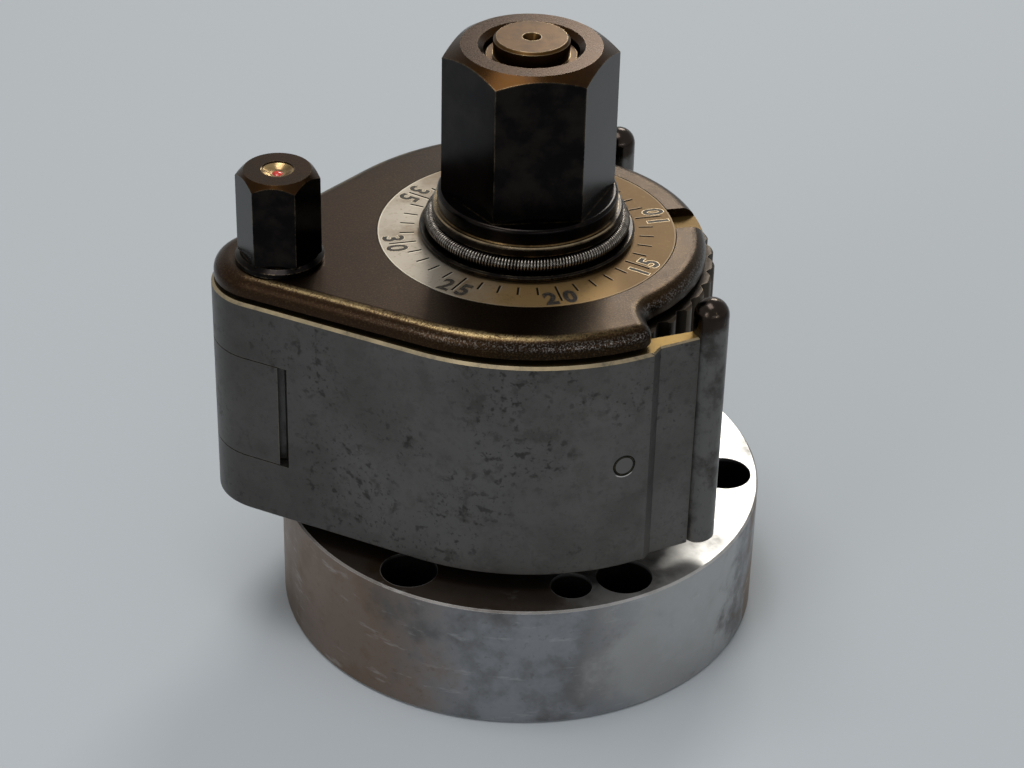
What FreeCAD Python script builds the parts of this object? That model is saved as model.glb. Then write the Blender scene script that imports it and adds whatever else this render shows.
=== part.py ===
import FreeCAD, Part
import math
import os

# A quick-change lathe tool post on a round riser base, in millimetres.
# Origin at the centre of the base's underside, Z up, the nose with the eccentric towards -X
# and the open side that takes the tool holder towards +X.

V = FreeCAD.Vector

# Base disk
BASE_R = 77.0
BASE_H = 43.0
BASE_EDGE = 0.6
BOLT_COUNT = 6
BOLT_WALL = 2.25
BOLT_HOLE_R = 5.5
BOLT_HEAD_R = 8.75
BOLT_HEAD_DEPTH = 31.0
BOLT_START = -13.8
PIN_HOLE_R = 6.4
PIN_HOLE_WALL = 5.6
PIN_HOLE_ANGLE = -88.8
PIN_HOLE_DEPTH = 24.0

# Centre stud with its round head let into the base
STUD_R = 14.3
STUD_HEAD_R = 22.0
STUD_HEAD_H = 13.0
STUD_HEAD_SINK = 1.5
STUD_THREAD_SINK = 3.0
STUD_DOG_R = 11.4
STUD_RISE = 2.5
STUD_EDGE = 0.8
CENTRE_DRILL_R = 2.8
STUD_PIN_R = 3.0
STUD_PIN_H = 10.0

# Splined core
TEETH = 40
TIP_R = 58.1
TOOTH_CREST_DROP = 0.3
TOOTH_DEPTH = 2.2
TOOTH_CREST_SHARE = 0.175
TOOTH_FOOT_SHARE = 0.47
CORE_FOOT_R = 52.0
CORE_FOOT_H = 6.0
CORE_H = 80.5
CORE_HUB_R = 39.5
CORE_HUB_H = 3.1
CORE_EDGE = 0.9
CORE_TRIM = 0.1
DOWEL_R = 4.0
DOWEL_RADIUS = 38.0
DOWEL_LENGTH = 20.0

# Dial ring
DIAL_R = 45.7
DIAL_H = 4.8
DIAL_PIN_R = 2.5
DIAL_PIN_RADIUS = 26.0
DIAL_PIN_LENGTH = 8.0
DIAL_PIN_SINK = 1.0
DIAL_RIM = 2.7
DIAL_GROOVE_LONG = 8.4
DIAL_GROOVE_SHORT = 4.4
DIAL_GROOVE_W = 0.4
DIAL_GROOVE_DEPTH = 0.2
DIAL_FIFTH = 5
DIAL_TURN = 1.2

# Head outline, shared by the jaws, the cover and the lower plate
NOSE_X = -78.7
NOSE_R = 18.5
FLANK_X = 2.8
FLANK_Y = 8.7
JAW_END_X = 23.85

# Jaws, with the fork on the front jaw and the tongue on the rear one
JAW_LIFT = 5.8
JAW_BORE_CLEAR = 1.2
JAW_WALL = 7.8
UPPER_EAR_H = 19.0
LOWER_EAR_H = 20.0
HINGE_INSET = 2.9
HINGE_Y = -2.0
HINGE_WALL = 4.8
HINGE_STEP_BACK = 5.2
HINGE_STEP_GAP = 2.5
EAR_GAP = 0.3
JAW_PARTING = 0.4
STRIP_STEP = 2.74
STRIP_DROP = 2.95
STRIP_LENGTH = 15.38
STRIP_TAPER = 2.97
STRIP_THICK = 5.3
STRIP_END_THICK = 4.5
STRIP_ROOT = 1.0
STRIP_SHADOW = 0.4
JAW_EDGE = 0.85
STRIP_EDGE = 0.5

# Clamp bars at the ends of the jaws
BAR_R = 5.3
BAR_STANDOFF = 4.13
BAR_SET_IN = 3.39
BAR_FOOT_RISE = 0.3
BAR_RISE = 5.5
BAR_SEAT_CLEAR = 0.02
BAR_EDGE = 1.2
BAR_PIN_R = 1.25
BAR_PIN_LENGTH = 9.0
BAR_PIN_INSET = 3.2
BAR_PIN_HEIGHTS = (12.2, 37.2, 62.2)

# Index plungers in the jaws
PLUG_R = 3.15
PLUG_ANGLE = 76.5
PLUG_HEIGHT = 37.4
PLUG_SPRING_SPACE = 2.1
BALL_R = 1.6
BALL_TIP_CLEAR = 0.8
PLUG_SPRING_R = 1.1
PLUG_SPRING_TURNS = 3
SPRING_WIRE_R = 0.25
PLUNGER_CLEAR = 0.05

# Eccentric spindle, its bushes and its hex
THROW = 1.2
SWEEP = 90.0
LOBE_R = 9.5
UPPER_JOURNAL_R = 11.0
LOWER_JOURNAL_R = 8.2
COLLAR_R = 13.4
COLLAR_H = 2.4
COLLAR_NECK_R = 12.0
COLLAR_NECK_H = 1.0
SMALL_HEX_AF = 22.0
SMALL_HEX_TURN = 44.8
SMALL_HEX_H = 27.4
SMALL_HEX_EDGE = 2.6
CUP_R = 4.9
CUP_DEPTH = 10.0
CUP_FLOOR_H = 1.0
CUP_SINK = 0.3
CUP_BORE_R = 3.2
CUP_LIP = 1.2
CUP_RIM = 0.6
CUP_DISH = 0.8
CUP_DISH_RISE = 0.1
OILER_BALL_R = 2.5
OILER_SPRING_R = 1.8
OILER_SPRING_TURNS = 3
OIL_WAY_R = 1.6
BUSH_WALL = 1.8
JOURNAL_CLEAR = 0.05
HINGE_BUSH_WALL = 2.4
LOBE_CLEAR = 0.3
CIRCLIP_H = 1.0
CIRCLIP_OUT = 1.6
CIRCLIP_GROOVE = 0.9
CIRCLIP_CLEAR = 0.02
CIRCLIP_GAP = 3.0

# Cover plate and lower plate
COVER_INSET = 1.5
COVER_NOSE_INSET = 0.9
COVER_GAP = 1.8
COVER_ROUND = 4.6
TEETH_SHOW = 2.9
LOBE_COVER_LIFT = 0.3
SHOULDER_OUT_R = 5.0
SHOULDER_IN_R = 7.0
COVER_LEDGE_H = 2.4
RUN_CLEAR = 0.3
COVER_BOSS_WALL = 4.0
NOTCH_W = 12.0
NOTCH_Y = -1.4
NOTCH_DEPTH = 3.0
LOWER_INSET = 6.5
LOWER_GAP = 0.8
LOWER_H = 3.4
LOWER_RING_DROP = 2.5

# Clamp nut, its washer and the garter spring
WASHER_R = 33.0
WASHER_H = 2.4
WASHER_EDGE = 0.6
WASHER_FOOT_EDGE = 1.2
NUT_AF = 46.0
NUT_TURN = 54.2
NUT_H = 60.2
NUT_EDGE = 3.4
NUT_SKIRT_R = 26.8
NUT_SKIRT_H = 4.8
STEP_R = 29.2
STEP_H = 2.8
STEP_EDGE = 0.6
FLANGE_R = 27.6
FLANGE_H = 5.2
FLANGE_ROUND = 1.2
NUT_COUNTERSINK = 1.6
HEX_RIM_SHARE = 0.04
THREAD_CLEAR = 0.05
GARTER_COIL_R = 2.2
GARTER_SEAT = 0.35
GARTER_REST = 0.05

# How far a cut runs past a face, a fused piece runs into its neighbour and an edge may lie off its place
CUT_MARGIN = 1.0
FUSE_MARGIN = 0.5
EDGE_MATCH = 1e-4
EDGE_NEAR = 0.01

# Places worked out from the sizes above
BOLT_PCD = 2.0 * (BASE_R - BOLT_WALL - BOLT_HEAD_R)
PIN_HOLE_RADIUS = BASE_R - PIN_HOLE_WALL - PIN_HOLE_R
CORE_BOTTOM = BASE_H
CORE_TOP = CORE_BOTTOM + CORE_H
DIAL_BOTTOM = CORE_TOP + CORE_HUB_H
DIAL_TOP = DIAL_BOTTOM + DIAL_H
DIAL_GROOVE_IN = DIAL_R - DIAL_RIM - DIAL_GROOVE_LONG
JAW_BOTTOM = BASE_H + JAW_LIFT
JAW_TOP = CORE_TOP
JAW_BORE_R = TIP_R + JAW_BORE_CLEAR
FLANK_R = JAW_BORE_R + JAW_WALL + FLANK_Y
CORNER_Y = math.sqrt(FLANK_R ** 2 - (JAW_END_X - FLANK_X) ** 2) - FLANK_Y
STRIP_END_X = JAW_END_X + STRIP_LENGTH
STRIP_OUT_Y = CORNER_Y - STRIP_DROP
STRIP_OUT_END_Y = STRIP_OUT_Y - STRIP_TAPER
STRIP_IN_Y = STRIP_OUT_Y - STRIP_THICK
STRIP_IN_END_Y = STRIP_OUT_END_Y - STRIP_END_THICK
BAR_X = STRIP_END_X + BAR_STANDOFF
BAR_Y = STRIP_OUT_END_Y - BAR_SET_IN
BAR_BOTTOM = JAW_BOTTOM + BAR_FOOT_RISE
BAR_DOME_Z = JAW_TOP + BAR_RISE
PLUG_Z = JAW_BOTTOM + PLUG_HEIGHT
BALL_INNER_R = TIP_R + BALL_TIP_CLEAR
HINGE_BUSH_R = LOBE_R + LOBE_CLEAR + HINGE_BUSH_WALL
HINGE_R = HINGE_BUSH_R + HINGE_WALL
HINGE_X = NOSE_X + HINGE_INSET
HINGE_STEP_X = HINGE_X - HINGE_STEP_BACK
LOBE_COVER_R = TIP_R - TEETH_SHOW
LOWER_RING_R = TIP_R - LOWER_RING_DROP
COVER_BOSS_R = DIAL_R + RUN_CLEAR + COVER_BOSS_WALL
COVER_BOTTOM = JAW_TOP + COVER_GAP
LOBE_BOTTOM = COVER_BOTTOM + LOBE_COVER_LIFT
LOWER_TOP = JAW_BOTTOM - LOWER_GAP
LOWER_BOTTOM = LOWER_TOP - LOWER_H
HALF_SWEEP = math.radians(SWEEP / 2.0)
HINGE_SHIFT_X = THROW * math.sin(HALF_SWEEP)
HINGE_SHIFT_Y = THROW * (1.0 + math.cos(HALF_SWEEP)) / 2.0
SPINDLE_X = HINGE_X - HINGE_SHIFT_X
SPINDLE_Y = HINGE_Y - HINGE_SHIFT_Y
LOBE_X = SPINDLE_X + THROW * math.sin(HALF_SWEEP)
LOBE_Y = SPINDLE_Y + THROW * math.cos(HALF_SWEEP)
COLLAR_BOTTOM = DIAL_TOP + RUN_CLEAR
COLLAR_TOP = COLLAR_BOTTOM + COLLAR_H
SMALL_HEX_TOP = COLLAR_TOP + SMALL_HEX_H
WASHER_TOP = DIAL_TOP + WASHER_H
NUT_TOP = WASHER_TOP + NUT_H
STUD_THREAD_TOP = NUT_TOP - STUD_THREAD_SINK
STUD_TOP = NUT_TOP + STUD_RISE
STEP_BOTTOM = WASHER_TOP + NUT_SKIRT_H
FLANGE_BOTTOM = STEP_BOTTOM + STEP_H
GARTER_R = NUT_SKIRT_R + GARTER_COIL_R + GARTER_SEAT
GARTER_Z = WASHER_TOP + GARTER_COIL_R + GARTER_REST
STUD_BORE_R = STUD_R + 2.0 * THREAD_CLEAR


def cylinder(radius, bottom, top, x=0.0, y=0.0):
    return Part.makeCylinder(radius, top - bottom, V(x, y, bottom))


def ring(outer, inner, bottom, top, x=0.0, y=0.0):
    body = cylinder(outer, bottom, top, x, y)
    return body.cut(cylinder(inner, bottom - CUT_MARGIN, top + CUT_MARGIN, x, y))


def box(x0, x1, y0, y1, z0, z1):
    return Part.makeBox(x1 - x0, y1 - y0, z1 - z0, V(x0, y0, z0))


def prism(wire, bottom, top):
    face = Part.Face(wire)
    face.translate(V(0, 0, bottom))
    return face.extrude(V(0, 0, top - bottom))


def polar(radius, degrees, z=0.0, x=0.0, y=0.0):
    angle = math.radians(degrees)
    return V(x + radius * math.cos(angle), y + radius * math.sin(angle), z)


def spun(points, x=0.0, y=0.0):
    """A solid of revolution from (radius, z) points, about the vertical line at x, y."""
    corners = [V(radius, 0, z) for radius, z in points]
    face = Part.Face(Part.makePolygon(corners + [corners[0]]))
    solid = face.revolve(V(0, 0, 0), V(0, 0, 1), 360)
    solid.translate(V(x, y, 0))
    return solid


def mirrored(shape):
    """The same shape on the other side of the X axis."""
    return shape.mirror(V(0, 0, 0), V(0, 1, 0))


def pick_edges(shape, test):
    return [edge for edge in shape.Edges if test(edge)]


def at_height(edge, z):
    box_of_edge = edge.BoundBox
    return abs(box_of_edge.ZMin - z) < EDGE_MATCH and abs(box_of_edge.ZMax - z) < EDGE_MATCH


def upright(edge):
    box_of_edge = edge.BoundBox
    return box_of_edge.XLength < EDGE_MATCH and box_of_edge.YLength < EDGE_MATCH


def hexagon(across_flats, turn, bottom, top, x=0.0, y=0.0):
    corner_r = across_flats / math.sqrt(3.0)
    corners = [polar(corner_r, turn + 60.0 * k, 0.0, x, y) for k in range(6)]
    return prism(Part.makePolygon(corners + [corners[0]]), bottom, top)


def chamfered_hexagon(across_flats, turn, bottom, top, edge, x=0.0, y=0.0):
    """A hexagon whose upper corners are turned off by a cone."""
    corner_r = across_flats / math.sqrt(3.0)
    flat_r = across_flats / 2.0
    rim_r = flat_r - HEX_RIM_SHARE * across_flats
    cap = spun([
        (0, bottom - CUT_MARGIN),
        (corner_r + CUT_MARGIN, bottom - CUT_MARGIN),
        (corner_r + CUT_MARGIN, top - edge),
        (corner_r, top - edge),
        (rim_r, top),
        (0, top),
    ], x, y)
    return hexagon(across_flats, turn, bottom, top, x, y).common(cap)


def tooth_profile():
    """The closed outline of the splined core, one rounded tooth after another."""
    pitch = 360.0 / TEETH
    crest_r = TIP_R - TOOTH_CREST_DROP
    root_r = TIP_R - TOOTH_DEPTH
    crest = TOOTH_CREST_SHARE * pitch
    foot = TOOTH_FOOT_SHARE * pitch
    edges = []
    for k in range(TEETH):
        middle = k * pitch
        crest_a = polar(crest_r, middle - crest)
        crest_b = polar(crest_r, middle + crest)
        foot_b = polar(root_r, middle + foot)
        next_foot = polar(root_r, middle + pitch - foot)
        next_crest = polar(crest_r, middle + pitch - crest)
        edges.append(Part.Arc(crest_a, polar(TIP_R, middle), crest_b).toShape())
        edges.append(Part.LineSegment(crest_b, foot_b).toShape())
        edges.append(Part.Arc(foot_b, polar(root_r, middle + pitch / 2.0), next_foot).toShape())
        edges.append(Part.LineSegment(next_foot, next_crest).toShape())
    return Part.Wire(edges)


def head_outline(inset, end_x, nose_inset=None):
    """The pear-shaped plan of the head: a nose, two flanks and two large arcs, cut square at end_x."""
    nose_r = NOSE_R - (inset if nose_inset is None else nose_inset)
    flank_r = FLANK_R - inset
    nose = V(NOSE_X, 0, 0)
    centre = V(FLANK_X, FLANK_Y, 0)
    along = centre.sub(nose)
    span = along.Length
    along.normalize()
    across = V(along.y, -along.x, 0)
    rise = (flank_r - nose_r) / span
    run = math.sqrt(1.0 - rise * rise)
    normal = across * run - along * rise
    nose_point = nose + normal * nose_r
    flank_point = centre + normal * flank_r
    end_y = FLANK_Y - math.sqrt(flank_r ** 2 - (end_x - FLANK_X) ** 2)
    end_point = V(end_x, end_y, 0)
    middle_x = (flank_point.x + end_x) / 2.0
    middle = V(middle_x, FLANK_Y - math.sqrt(flank_r ** 2 - (middle_x - FLANK_X) ** 2), 0)

    def over(point):
        return V(point.x, -point.y, 0)

    return Part.Wire([
        Part.Arc(over(nose_point), V(NOSE_X - nose_r, 0, 0), nose_point).toShape(),
        Part.LineSegment(nose_point, flank_point).toShape(),
        Part.Arc(flank_point, middle, end_point).toShape(),
        Part.LineSegment(end_point, over(end_point)).toShape(),
        Part.Arc(over(end_point), over(middle), over(flank_point)).toShape(),
        Part.LineSegment(over(flank_point), over(nose_point)).toShape(),
    ])


def make_base_disk():
    disk = spun([
        (0, 0),
        (BASE_R - BASE_EDGE, 0),
        (BASE_R, BASE_EDGE),
        (BASE_R, BASE_H - BASE_EDGE),
        (BASE_R - BASE_EDGE, BASE_H),
        (0, BASE_H),
    ])
    for k in range(BOLT_COUNT):
        place = polar(BOLT_PCD / 2.0, BOLT_START + 360.0 * k / BOLT_COUNT)
        disk = disk.cut(cylinder(BOLT_HOLE_R, -CUT_MARGIN, BASE_H + CUT_MARGIN, place.x, place.y))
        head_floor = BASE_H - BOLT_HEAD_DEPTH
        disk = disk.cut(cylinder(BOLT_HEAD_R, head_floor, BASE_H + CUT_MARGIN, place.x, place.y))
    place = polar(PIN_HOLE_RADIUS, PIN_HOLE_ANGLE)
    disk = disk.cut(cylinder(PIN_HOLE_R, BASE_H - PIN_HOLE_DEPTH, BASE_H + CUT_MARGIN, place.x, place.y))
    disk = disk.cut(cylinder(STUD_BORE_R, -CUT_MARGIN, BASE_H + CUT_MARGIN))
    disk = disk.cut(cylinder(STUD_HEAD_R + JOURNAL_CLEAR, -CUT_MARGIN, STUD_HEAD_SINK + STUD_HEAD_H))
    disk = disk.cut(stud_pin())
    return disk.cut(core_dowels())


def stud_pin():
    """The pin that stops the stud from turning, half in its head and half in the base."""
    return cylinder(STUD_PIN_R, STUD_HEAD_SINK, STUD_HEAD_SINK + STUD_PIN_H, STUD_HEAD_R, 0)


def make_centre_stud():
    head_top = STUD_HEAD_SINK + STUD_HEAD_H
    stud = spun([
        (0, STUD_HEAD_SINK),
        (STUD_HEAD_R, STUD_HEAD_SINK),
        (STUD_HEAD_R, head_top),
        (STUD_R, head_top),
        (STUD_R, STUD_THREAD_TOP - STUD_EDGE),
        (STUD_R - STUD_EDGE, STUD_THREAD_TOP),
        (STUD_DOG_R, STUD_THREAD_TOP),
        (STUD_DOG_R, STUD_TOP - STUD_EDGE),
        (STUD_DOG_R - STUD_EDGE, STUD_TOP),
        (CENTRE_DRILL_R, STUD_TOP),
        (CENTRE_DRILL_R / 2.0, STUD_TOP - CENTRE_DRILL_R),
        (CENTRE_DRILL_R / 2.0, STUD_TOP - 2.0 * CENTRE_DRILL_R),
        (0, STUD_TOP - 2.0 * CENTRE_DRILL_R),
    ])
    return stud.cut(stud_pin())


def core_dowels():
    """Two dowels that set the core on the base."""
    pins = []
    for degrees in (0.0, 180.0):
        place = polar(DOWEL_RADIUS, degrees)
        half = DOWEL_LENGTH / 2.0
        pins.append(cylinder(DOWEL_R, BASE_H - half, BASE_H + half, place.x, place.y))
    return Part.makeCompound(pins)


def dial_pins():
    """Two pins that fix the dial on the core's hub, under the nut's washer."""
    pins = []
    for degrees in (90.0, 270.0):
        place = polar(DIAL_PIN_RADIUS, degrees)
        top = DIAL_TOP - DIAL_PIN_SINK
        pins.append(cylinder(DIAL_PIN_R, top - DIAL_PIN_LENGTH, top, place.x, place.y))
    return Part.makeCompound(pins)


def make_splined_core():
    teeth_bottom = CORE_BOTTOM + CORE_FOOT_H
    trim_r = TIP_R + CORE_TRIM
    body = prism(tooth_profile(), teeth_bottom, CORE_TOP)
    trim = spun([
        (0, teeth_bottom),
        (trim_r - CORE_EDGE, teeth_bottom),
        (trim_r, teeth_bottom + CORE_EDGE),
        (trim_r, CORE_TOP - CORE_EDGE),
        (trim_r - CORE_EDGE, CORE_TOP),
        (0, CORE_TOP),
    ])
    body = body.common(trim)
    body = body.fuse(cylinder(CORE_FOOT_R, CORE_BOTTOM, teeth_bottom))
    body = body.fuse(cylinder(CORE_HUB_R, CORE_TOP, DIAL_BOTTOM))
    body = body.cut(cylinder(STUD_BORE_R, CORE_BOTTOM - CUT_MARGIN, DIAL_TOP))
    body = body.cut(core_dowels())
    return body.cut(dial_pins()).removeSplitter()


def make_dial_ring():
    ring_body = ring(DIAL_R, STUD_BORE_R, DIAL_BOTTOM, DIAL_TOP).cut(dial_pins())
    grooves = []
    for k in range(TEETH):
        length = DIAL_GROOVE_LONG if k % DIAL_FIFTH == 0 else DIAL_GROOVE_SHORT
        outer = DIAL_GROOVE_IN + length
        half = DIAL_GROOVE_W / 2.0
        groove = box(DIAL_GROOVE_IN, outer, -half, half, DIAL_TOP - DIAL_GROOVE_DEPTH, DIAL_TOP + CUT_MARGIN)
        groove.rotate(V(0, 0, 0), V(0, 0, 1), DIAL_TURN + k * 360.0 / TEETH)
        grooves.append(groove)
    return ring_body.cut(Part.makeCompound(grooves))


def cover_blank():
    """The cover's plan carried up to its full height, with its corners and its top edge rounded."""
    wide = prism(head_outline(COVER_INSET, JAW_END_X, COVER_NOSE_INSET), COVER_BOTTOM, DIAL_TOP)
    blank = wide.fuse(cylinder(LOBE_COVER_R, COVER_BOTTOM, DIAL_TOP)).removeSplitter()
    cover_r = FLANK_R - COVER_INSET
    corner_y = math.sqrt(cover_r ** 2 - (JAW_END_X - FLANK_X) ** 2) - FLANK_Y
    inner_y = math.sqrt(LOBE_COVER_R ** 2 - JAW_END_X ** 2)

    def near(edge, y):
        middle = edge.BoundBox.Center
        return abs(middle.x - JAW_END_X) < EDGE_NEAR and abs(abs(middle.y) - y) < EDGE_NEAR

    inner = pick_edges(blank, lambda e: upright(e) and near(e, inner_y))
    blank = blank.makeFillet(SHOULDER_IN_R, inner)
    outer = pick_edges(blank, lambda e: upright(e) and near(e, corner_y))
    blank = blank.makeFillet(SHOULDER_OUT_R, outer)
    rim = pick_edges(blank, lambda e: at_height(e, DIAL_TOP))
    return blank.makeFillet(COVER_ROUND, rim)


def make_cover_plate():
    cover = cover_blank()
    lobe_relief = box(JAW_END_X, BASE_R, -BASE_R, BASE_R, COVER_BOTTOM - CUT_MARGIN, LOBE_BOTTOM)
    cover = cover.cut(lobe_relief)
    cover = cover.fuse(cylinder(COVER_BOSS_R, CORE_TOP + RUN_CLEAR, LOBE_BOTTOM + FUSE_MARGIN))
    ledge_r = CORE_HUB_R + RUN_CLEAR
    over = DIAL_TOP + CUT_MARGIN
    cover = cover.cut(cylinder(ledge_r, CORE_TOP - CUT_MARGIN, over))
    cover = cover.cut(cylinder(DIAL_R + RUN_CLEAR, CORE_TOP + RUN_CLEAR + COVER_LEDGE_H, over))
    bush_r = UPPER_JOURNAL_R + BUSH_WALL
    cover = cover.cut(cylinder(bush_r, COVER_BOTTOM - CUT_MARGIN, over, SPINDLE_X, SPINDLE_Y))
    half = NOTCH_W / 2.0
    notch = box(DIAL_R - CUT_MARGIN, LOBE_COVER_R + CUT_MARGIN,
                NOTCH_Y - half, NOTCH_Y + half, DIAL_TOP - NOTCH_DEPTH, over)
    return cover.cut(notch).removeSplitter()


def make_cover_bush():
    return ring(UPPER_JOURNAL_R + BUSH_WALL, UPPER_JOURNAL_R + JOURNAL_CLEAR,
                COVER_BOTTOM, DIAL_TOP, SPINDLE_X, SPINDLE_Y)


def circlip_recess_top():
    return LOWER_BOTTOM + CIRCLIP_H + 2.0 * RUN_CLEAR


def make_lower_plate():
    plate = prism(head_outline(LOWER_INSET, JAW_END_X), LOWER_BOTTOM, LOWER_TOP)
    plate = plate.common(box(-2.0 * BASE_R, 0, -BASE_R, BASE_R, LOWER_BOTTOM, LOWER_TOP))
    plate = plate.fuse(cylinder(LOWER_RING_R, LOWER_BOTTOM, LOWER_TOP))
    plate = plate.cut(cylinder(CORE_FOOT_R + RUN_CLEAR, LOWER_BOTTOM - CUT_MARGIN, LOWER_TOP + CUT_MARGIN))
    bush_r = LOWER_JOURNAL_R + BUSH_WALL
    plate = plate.cut(cylinder(bush_r, LOWER_BOTTOM - CUT_MARGIN, LOWER_TOP + CUT_MARGIN,
                               SPINDLE_X, SPINDLE_Y))
    recess = cylinder(LOWER_JOURNAL_R + CIRCLIP_OUT + RUN_CLEAR, LOWER_BOTTOM - CUT_MARGIN,
                      circlip_recess_top(), SPINDLE_X, SPINDLE_Y)
    return plate.cut(recess).removeSplitter()


def make_lower_bush():
    return ring(LOWER_JOURNAL_R + BUSH_WALL, LOWER_JOURNAL_R + JOURNAL_CLEAR,
                circlip_recess_top(), LOWER_TOP, SPINDLE_X, SPINDLE_Y)


def make_eccentric_spindle():
    """Hex, collar and two journals on the spindle axis, with the eccentric lobe between them."""
    spindle = chamfered_hexagon(SMALL_HEX_AF, SMALL_HEX_TURN, COLLAR_TOP, SMALL_HEX_TOP,
                                SMALL_HEX_EDGE, SPINDLE_X, SPINDLE_Y)
    collar = spun([
        (0, COLLAR_BOTTOM),
        (COLLAR_R, COLLAR_BOTTOM),
        (COLLAR_R, COLLAR_TOP - COLLAR_NECK_H),
        (COLLAR_NECK_R, COLLAR_TOP),
        (0, COLLAR_TOP),
    ], SPINDLE_X, SPINDLE_Y)
    spindle = spindle.fuse(collar)
    lobe_top = COVER_BOTTOM - RUN_CLEAR
    spindle = spindle.fuse(cylinder(UPPER_JOURNAL_R, lobe_top, COLLAR_BOTTOM, SPINDLE_X, SPINDLE_Y))
    spindle = spindle.fuse(cylinder(LOBE_R, LOWER_TOP + RUN_CLEAR, lobe_top, LOBE_X, LOBE_Y))
    journal = cylinder(LOWER_JOURNAL_R, LOWER_BOTTOM, LOWER_TOP + RUN_CLEAR, SPINDLE_X, SPINDLE_Y)
    groove_r = LOWER_JOURNAL_R - CIRCLIP_GROOVE - CIRCLIP_CLEAR
    groove_bottom = LOWER_BOTTOM + RUN_CLEAR - CIRCLIP_CLEAR
    groove = ring(LOWER_JOURNAL_R + CUT_MARGIN, groove_r, groove_bottom,
                  groove_bottom + CIRCLIP_H + 2.0 * CIRCLIP_CLEAR, SPINDLE_X, SPINDLE_Y)
    spindle = spindle.fuse(journal.cut(groove))
    cup_floor = SMALL_HEX_TOP - CUP_SINK - CUP_DEPTH
    spindle = spindle.cut(cylinder(CUP_R, cup_floor, SMALL_HEX_TOP + CUT_MARGIN, SPINDLE_X, SPINDLE_Y))
    oil_way_bottom = (JAW_BOTTOM + JAW_TOP) / 2.0
    spindle = spindle.cut(cylinder(OIL_WAY_R, oil_way_bottom, SMALL_HEX_TOP, SPINDLE_X, SPINDLE_Y))
    reach = LOBE_R + 2.0 * CUT_MARGIN
    cross = Part.makeCylinder(OIL_WAY_R, 2.0 * reach,
                              V(SPINDLE_X - reach, SPINDLE_Y, oil_way_bottom + OIL_WAY_R), V(1, 0, 0))
    return spindle.cut(cross).removeSplitter()


def make_spindle_circlip():
    clip = ring(LOWER_JOURNAL_R + CIRCLIP_OUT, LOWER_JOURNAL_R - CIRCLIP_GROOVE,
                LOWER_BOTTOM + RUN_CLEAR, LOWER_BOTTOM + RUN_CLEAR + CIRCLIP_H, SPINDLE_X, SPINDLE_Y)
    gap = box(SPINDLE_X - 2.0 * LOWER_JOURNAL_R, SPINDLE_X, SPINDLE_Y - CIRCLIP_GAP,
              SPINDLE_Y + CIRCLIP_GAP, LOWER_BOTTOM, LOWER_TOP)
    return clip.cut(gap)


def oiler_ball_z():
    lip_z = SMALL_HEX_TOP - CUP_SINK - CUP_LIP
    return lip_z - math.sqrt(max(OILER_BALL_R ** 2 - OIL_WAY_R ** 2, 0.0))


def make_oiler_cup():
    """The cup pressed in the hex, dished above its seat for the ball."""
    top = SMALL_HEX_TOP - CUP_SINK
    floor = top - CUP_DEPTH
    lip = top - CUP_LIP
    return spun([
        (OIL_WAY_R, floor),
        (CUP_R, floor),
        (CUP_R, top),
        (CUP_R - CUP_RIM, top),
        (OIL_WAY_R + CUP_DISH, lip + CUP_DISH_RISE),
        (OIL_WAY_R, lip),
        (CUP_BORE_R, oiler_ball_z()),
        (CUP_BORE_R, floor + CUP_FLOOR_H),
        (OIL_WAY_R, floor + CUP_FLOOR_H),
    ], SPINDLE_X, SPINDLE_Y)


def make_oiler_ball():
    return Part.makeSphere(OILER_BALL_R - JOURNAL_CLEAR, V(SPINDLE_X, SPINDLE_Y, oiler_ball_z()))


def coil(centre, direction, length, radius, wire_r, turns):
    """A compression spring as a swept helix, standing at centre along direction."""
    rise = length - 2.0 * wire_r
    helix = Part.makeHelix(rise / turns, rise, radius)
    start = V(radius, 0, 0)
    section = Part.Wire([Part.makeCircle(wire_r, start, V(0, 1, 0))])
    spring = Part.Wire(helix.Edges).makePipeShell([section], True, True)
    spring.translate(V(0, 0, wire_r))
    turn = FreeCAD.Rotation(V(0, 0, 1), direction)
    spring.Placement = FreeCAD.Placement(centre, turn).multiply(spring.Placement)
    return spring


def reach_to_spring(ball_r, coil_r):
    """How far from a ball's centre the end of a spring of radius coil_r rests on it."""
    return math.sqrt((ball_r + SPRING_WIRE_R) ** 2 - coil_r ** 2) - SPRING_WIRE_R


def make_oiler_spring():
    floor = SMALL_HEX_TOP - CUP_SINK - CUP_DEPTH + CUP_FLOOR_H + JOURNAL_CLEAR
    top = oiler_ball_z() - reach_to_spring(OILER_BALL_R, OILER_SPRING_R) - JOURNAL_CLEAR
    return coil(V(SPINDLE_X, SPINDLE_Y, floor), V(0, 0, 1),
                top - floor, OILER_SPRING_R, SPRING_WIRE_R, OILER_SPRING_TURNS)


def make_hinge_bush():
    """The sleeve on the lobe that both jaws swing on."""
    return ring(HINGE_BUSH_R, LOBE_R + LOBE_CLEAR, JAW_BOTTOM + RUN_CLEAR, JAW_TOP - RUN_CLEAR,
                HINGE_X, HINGE_Y)


def at_jaw_ends(edge):
    return at_height(edge, JAW_TOP) or at_height(edge, JAW_BOTTOM)


def jaw_blank():
    """Both jaws in one piece, with the edges of the top and bottom faces broken by a chamfer."""
    blank = prism(head_outline(0.0, JAW_END_X), JAW_BOTTOM, JAW_TOP)
    rim = pick_edges(blank, lambda e: at_jaw_ends(e) and e.BoundBox.XLength > EDGE_NEAR)
    return blank.makeChamfer(JAW_EDGE, rim)


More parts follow.
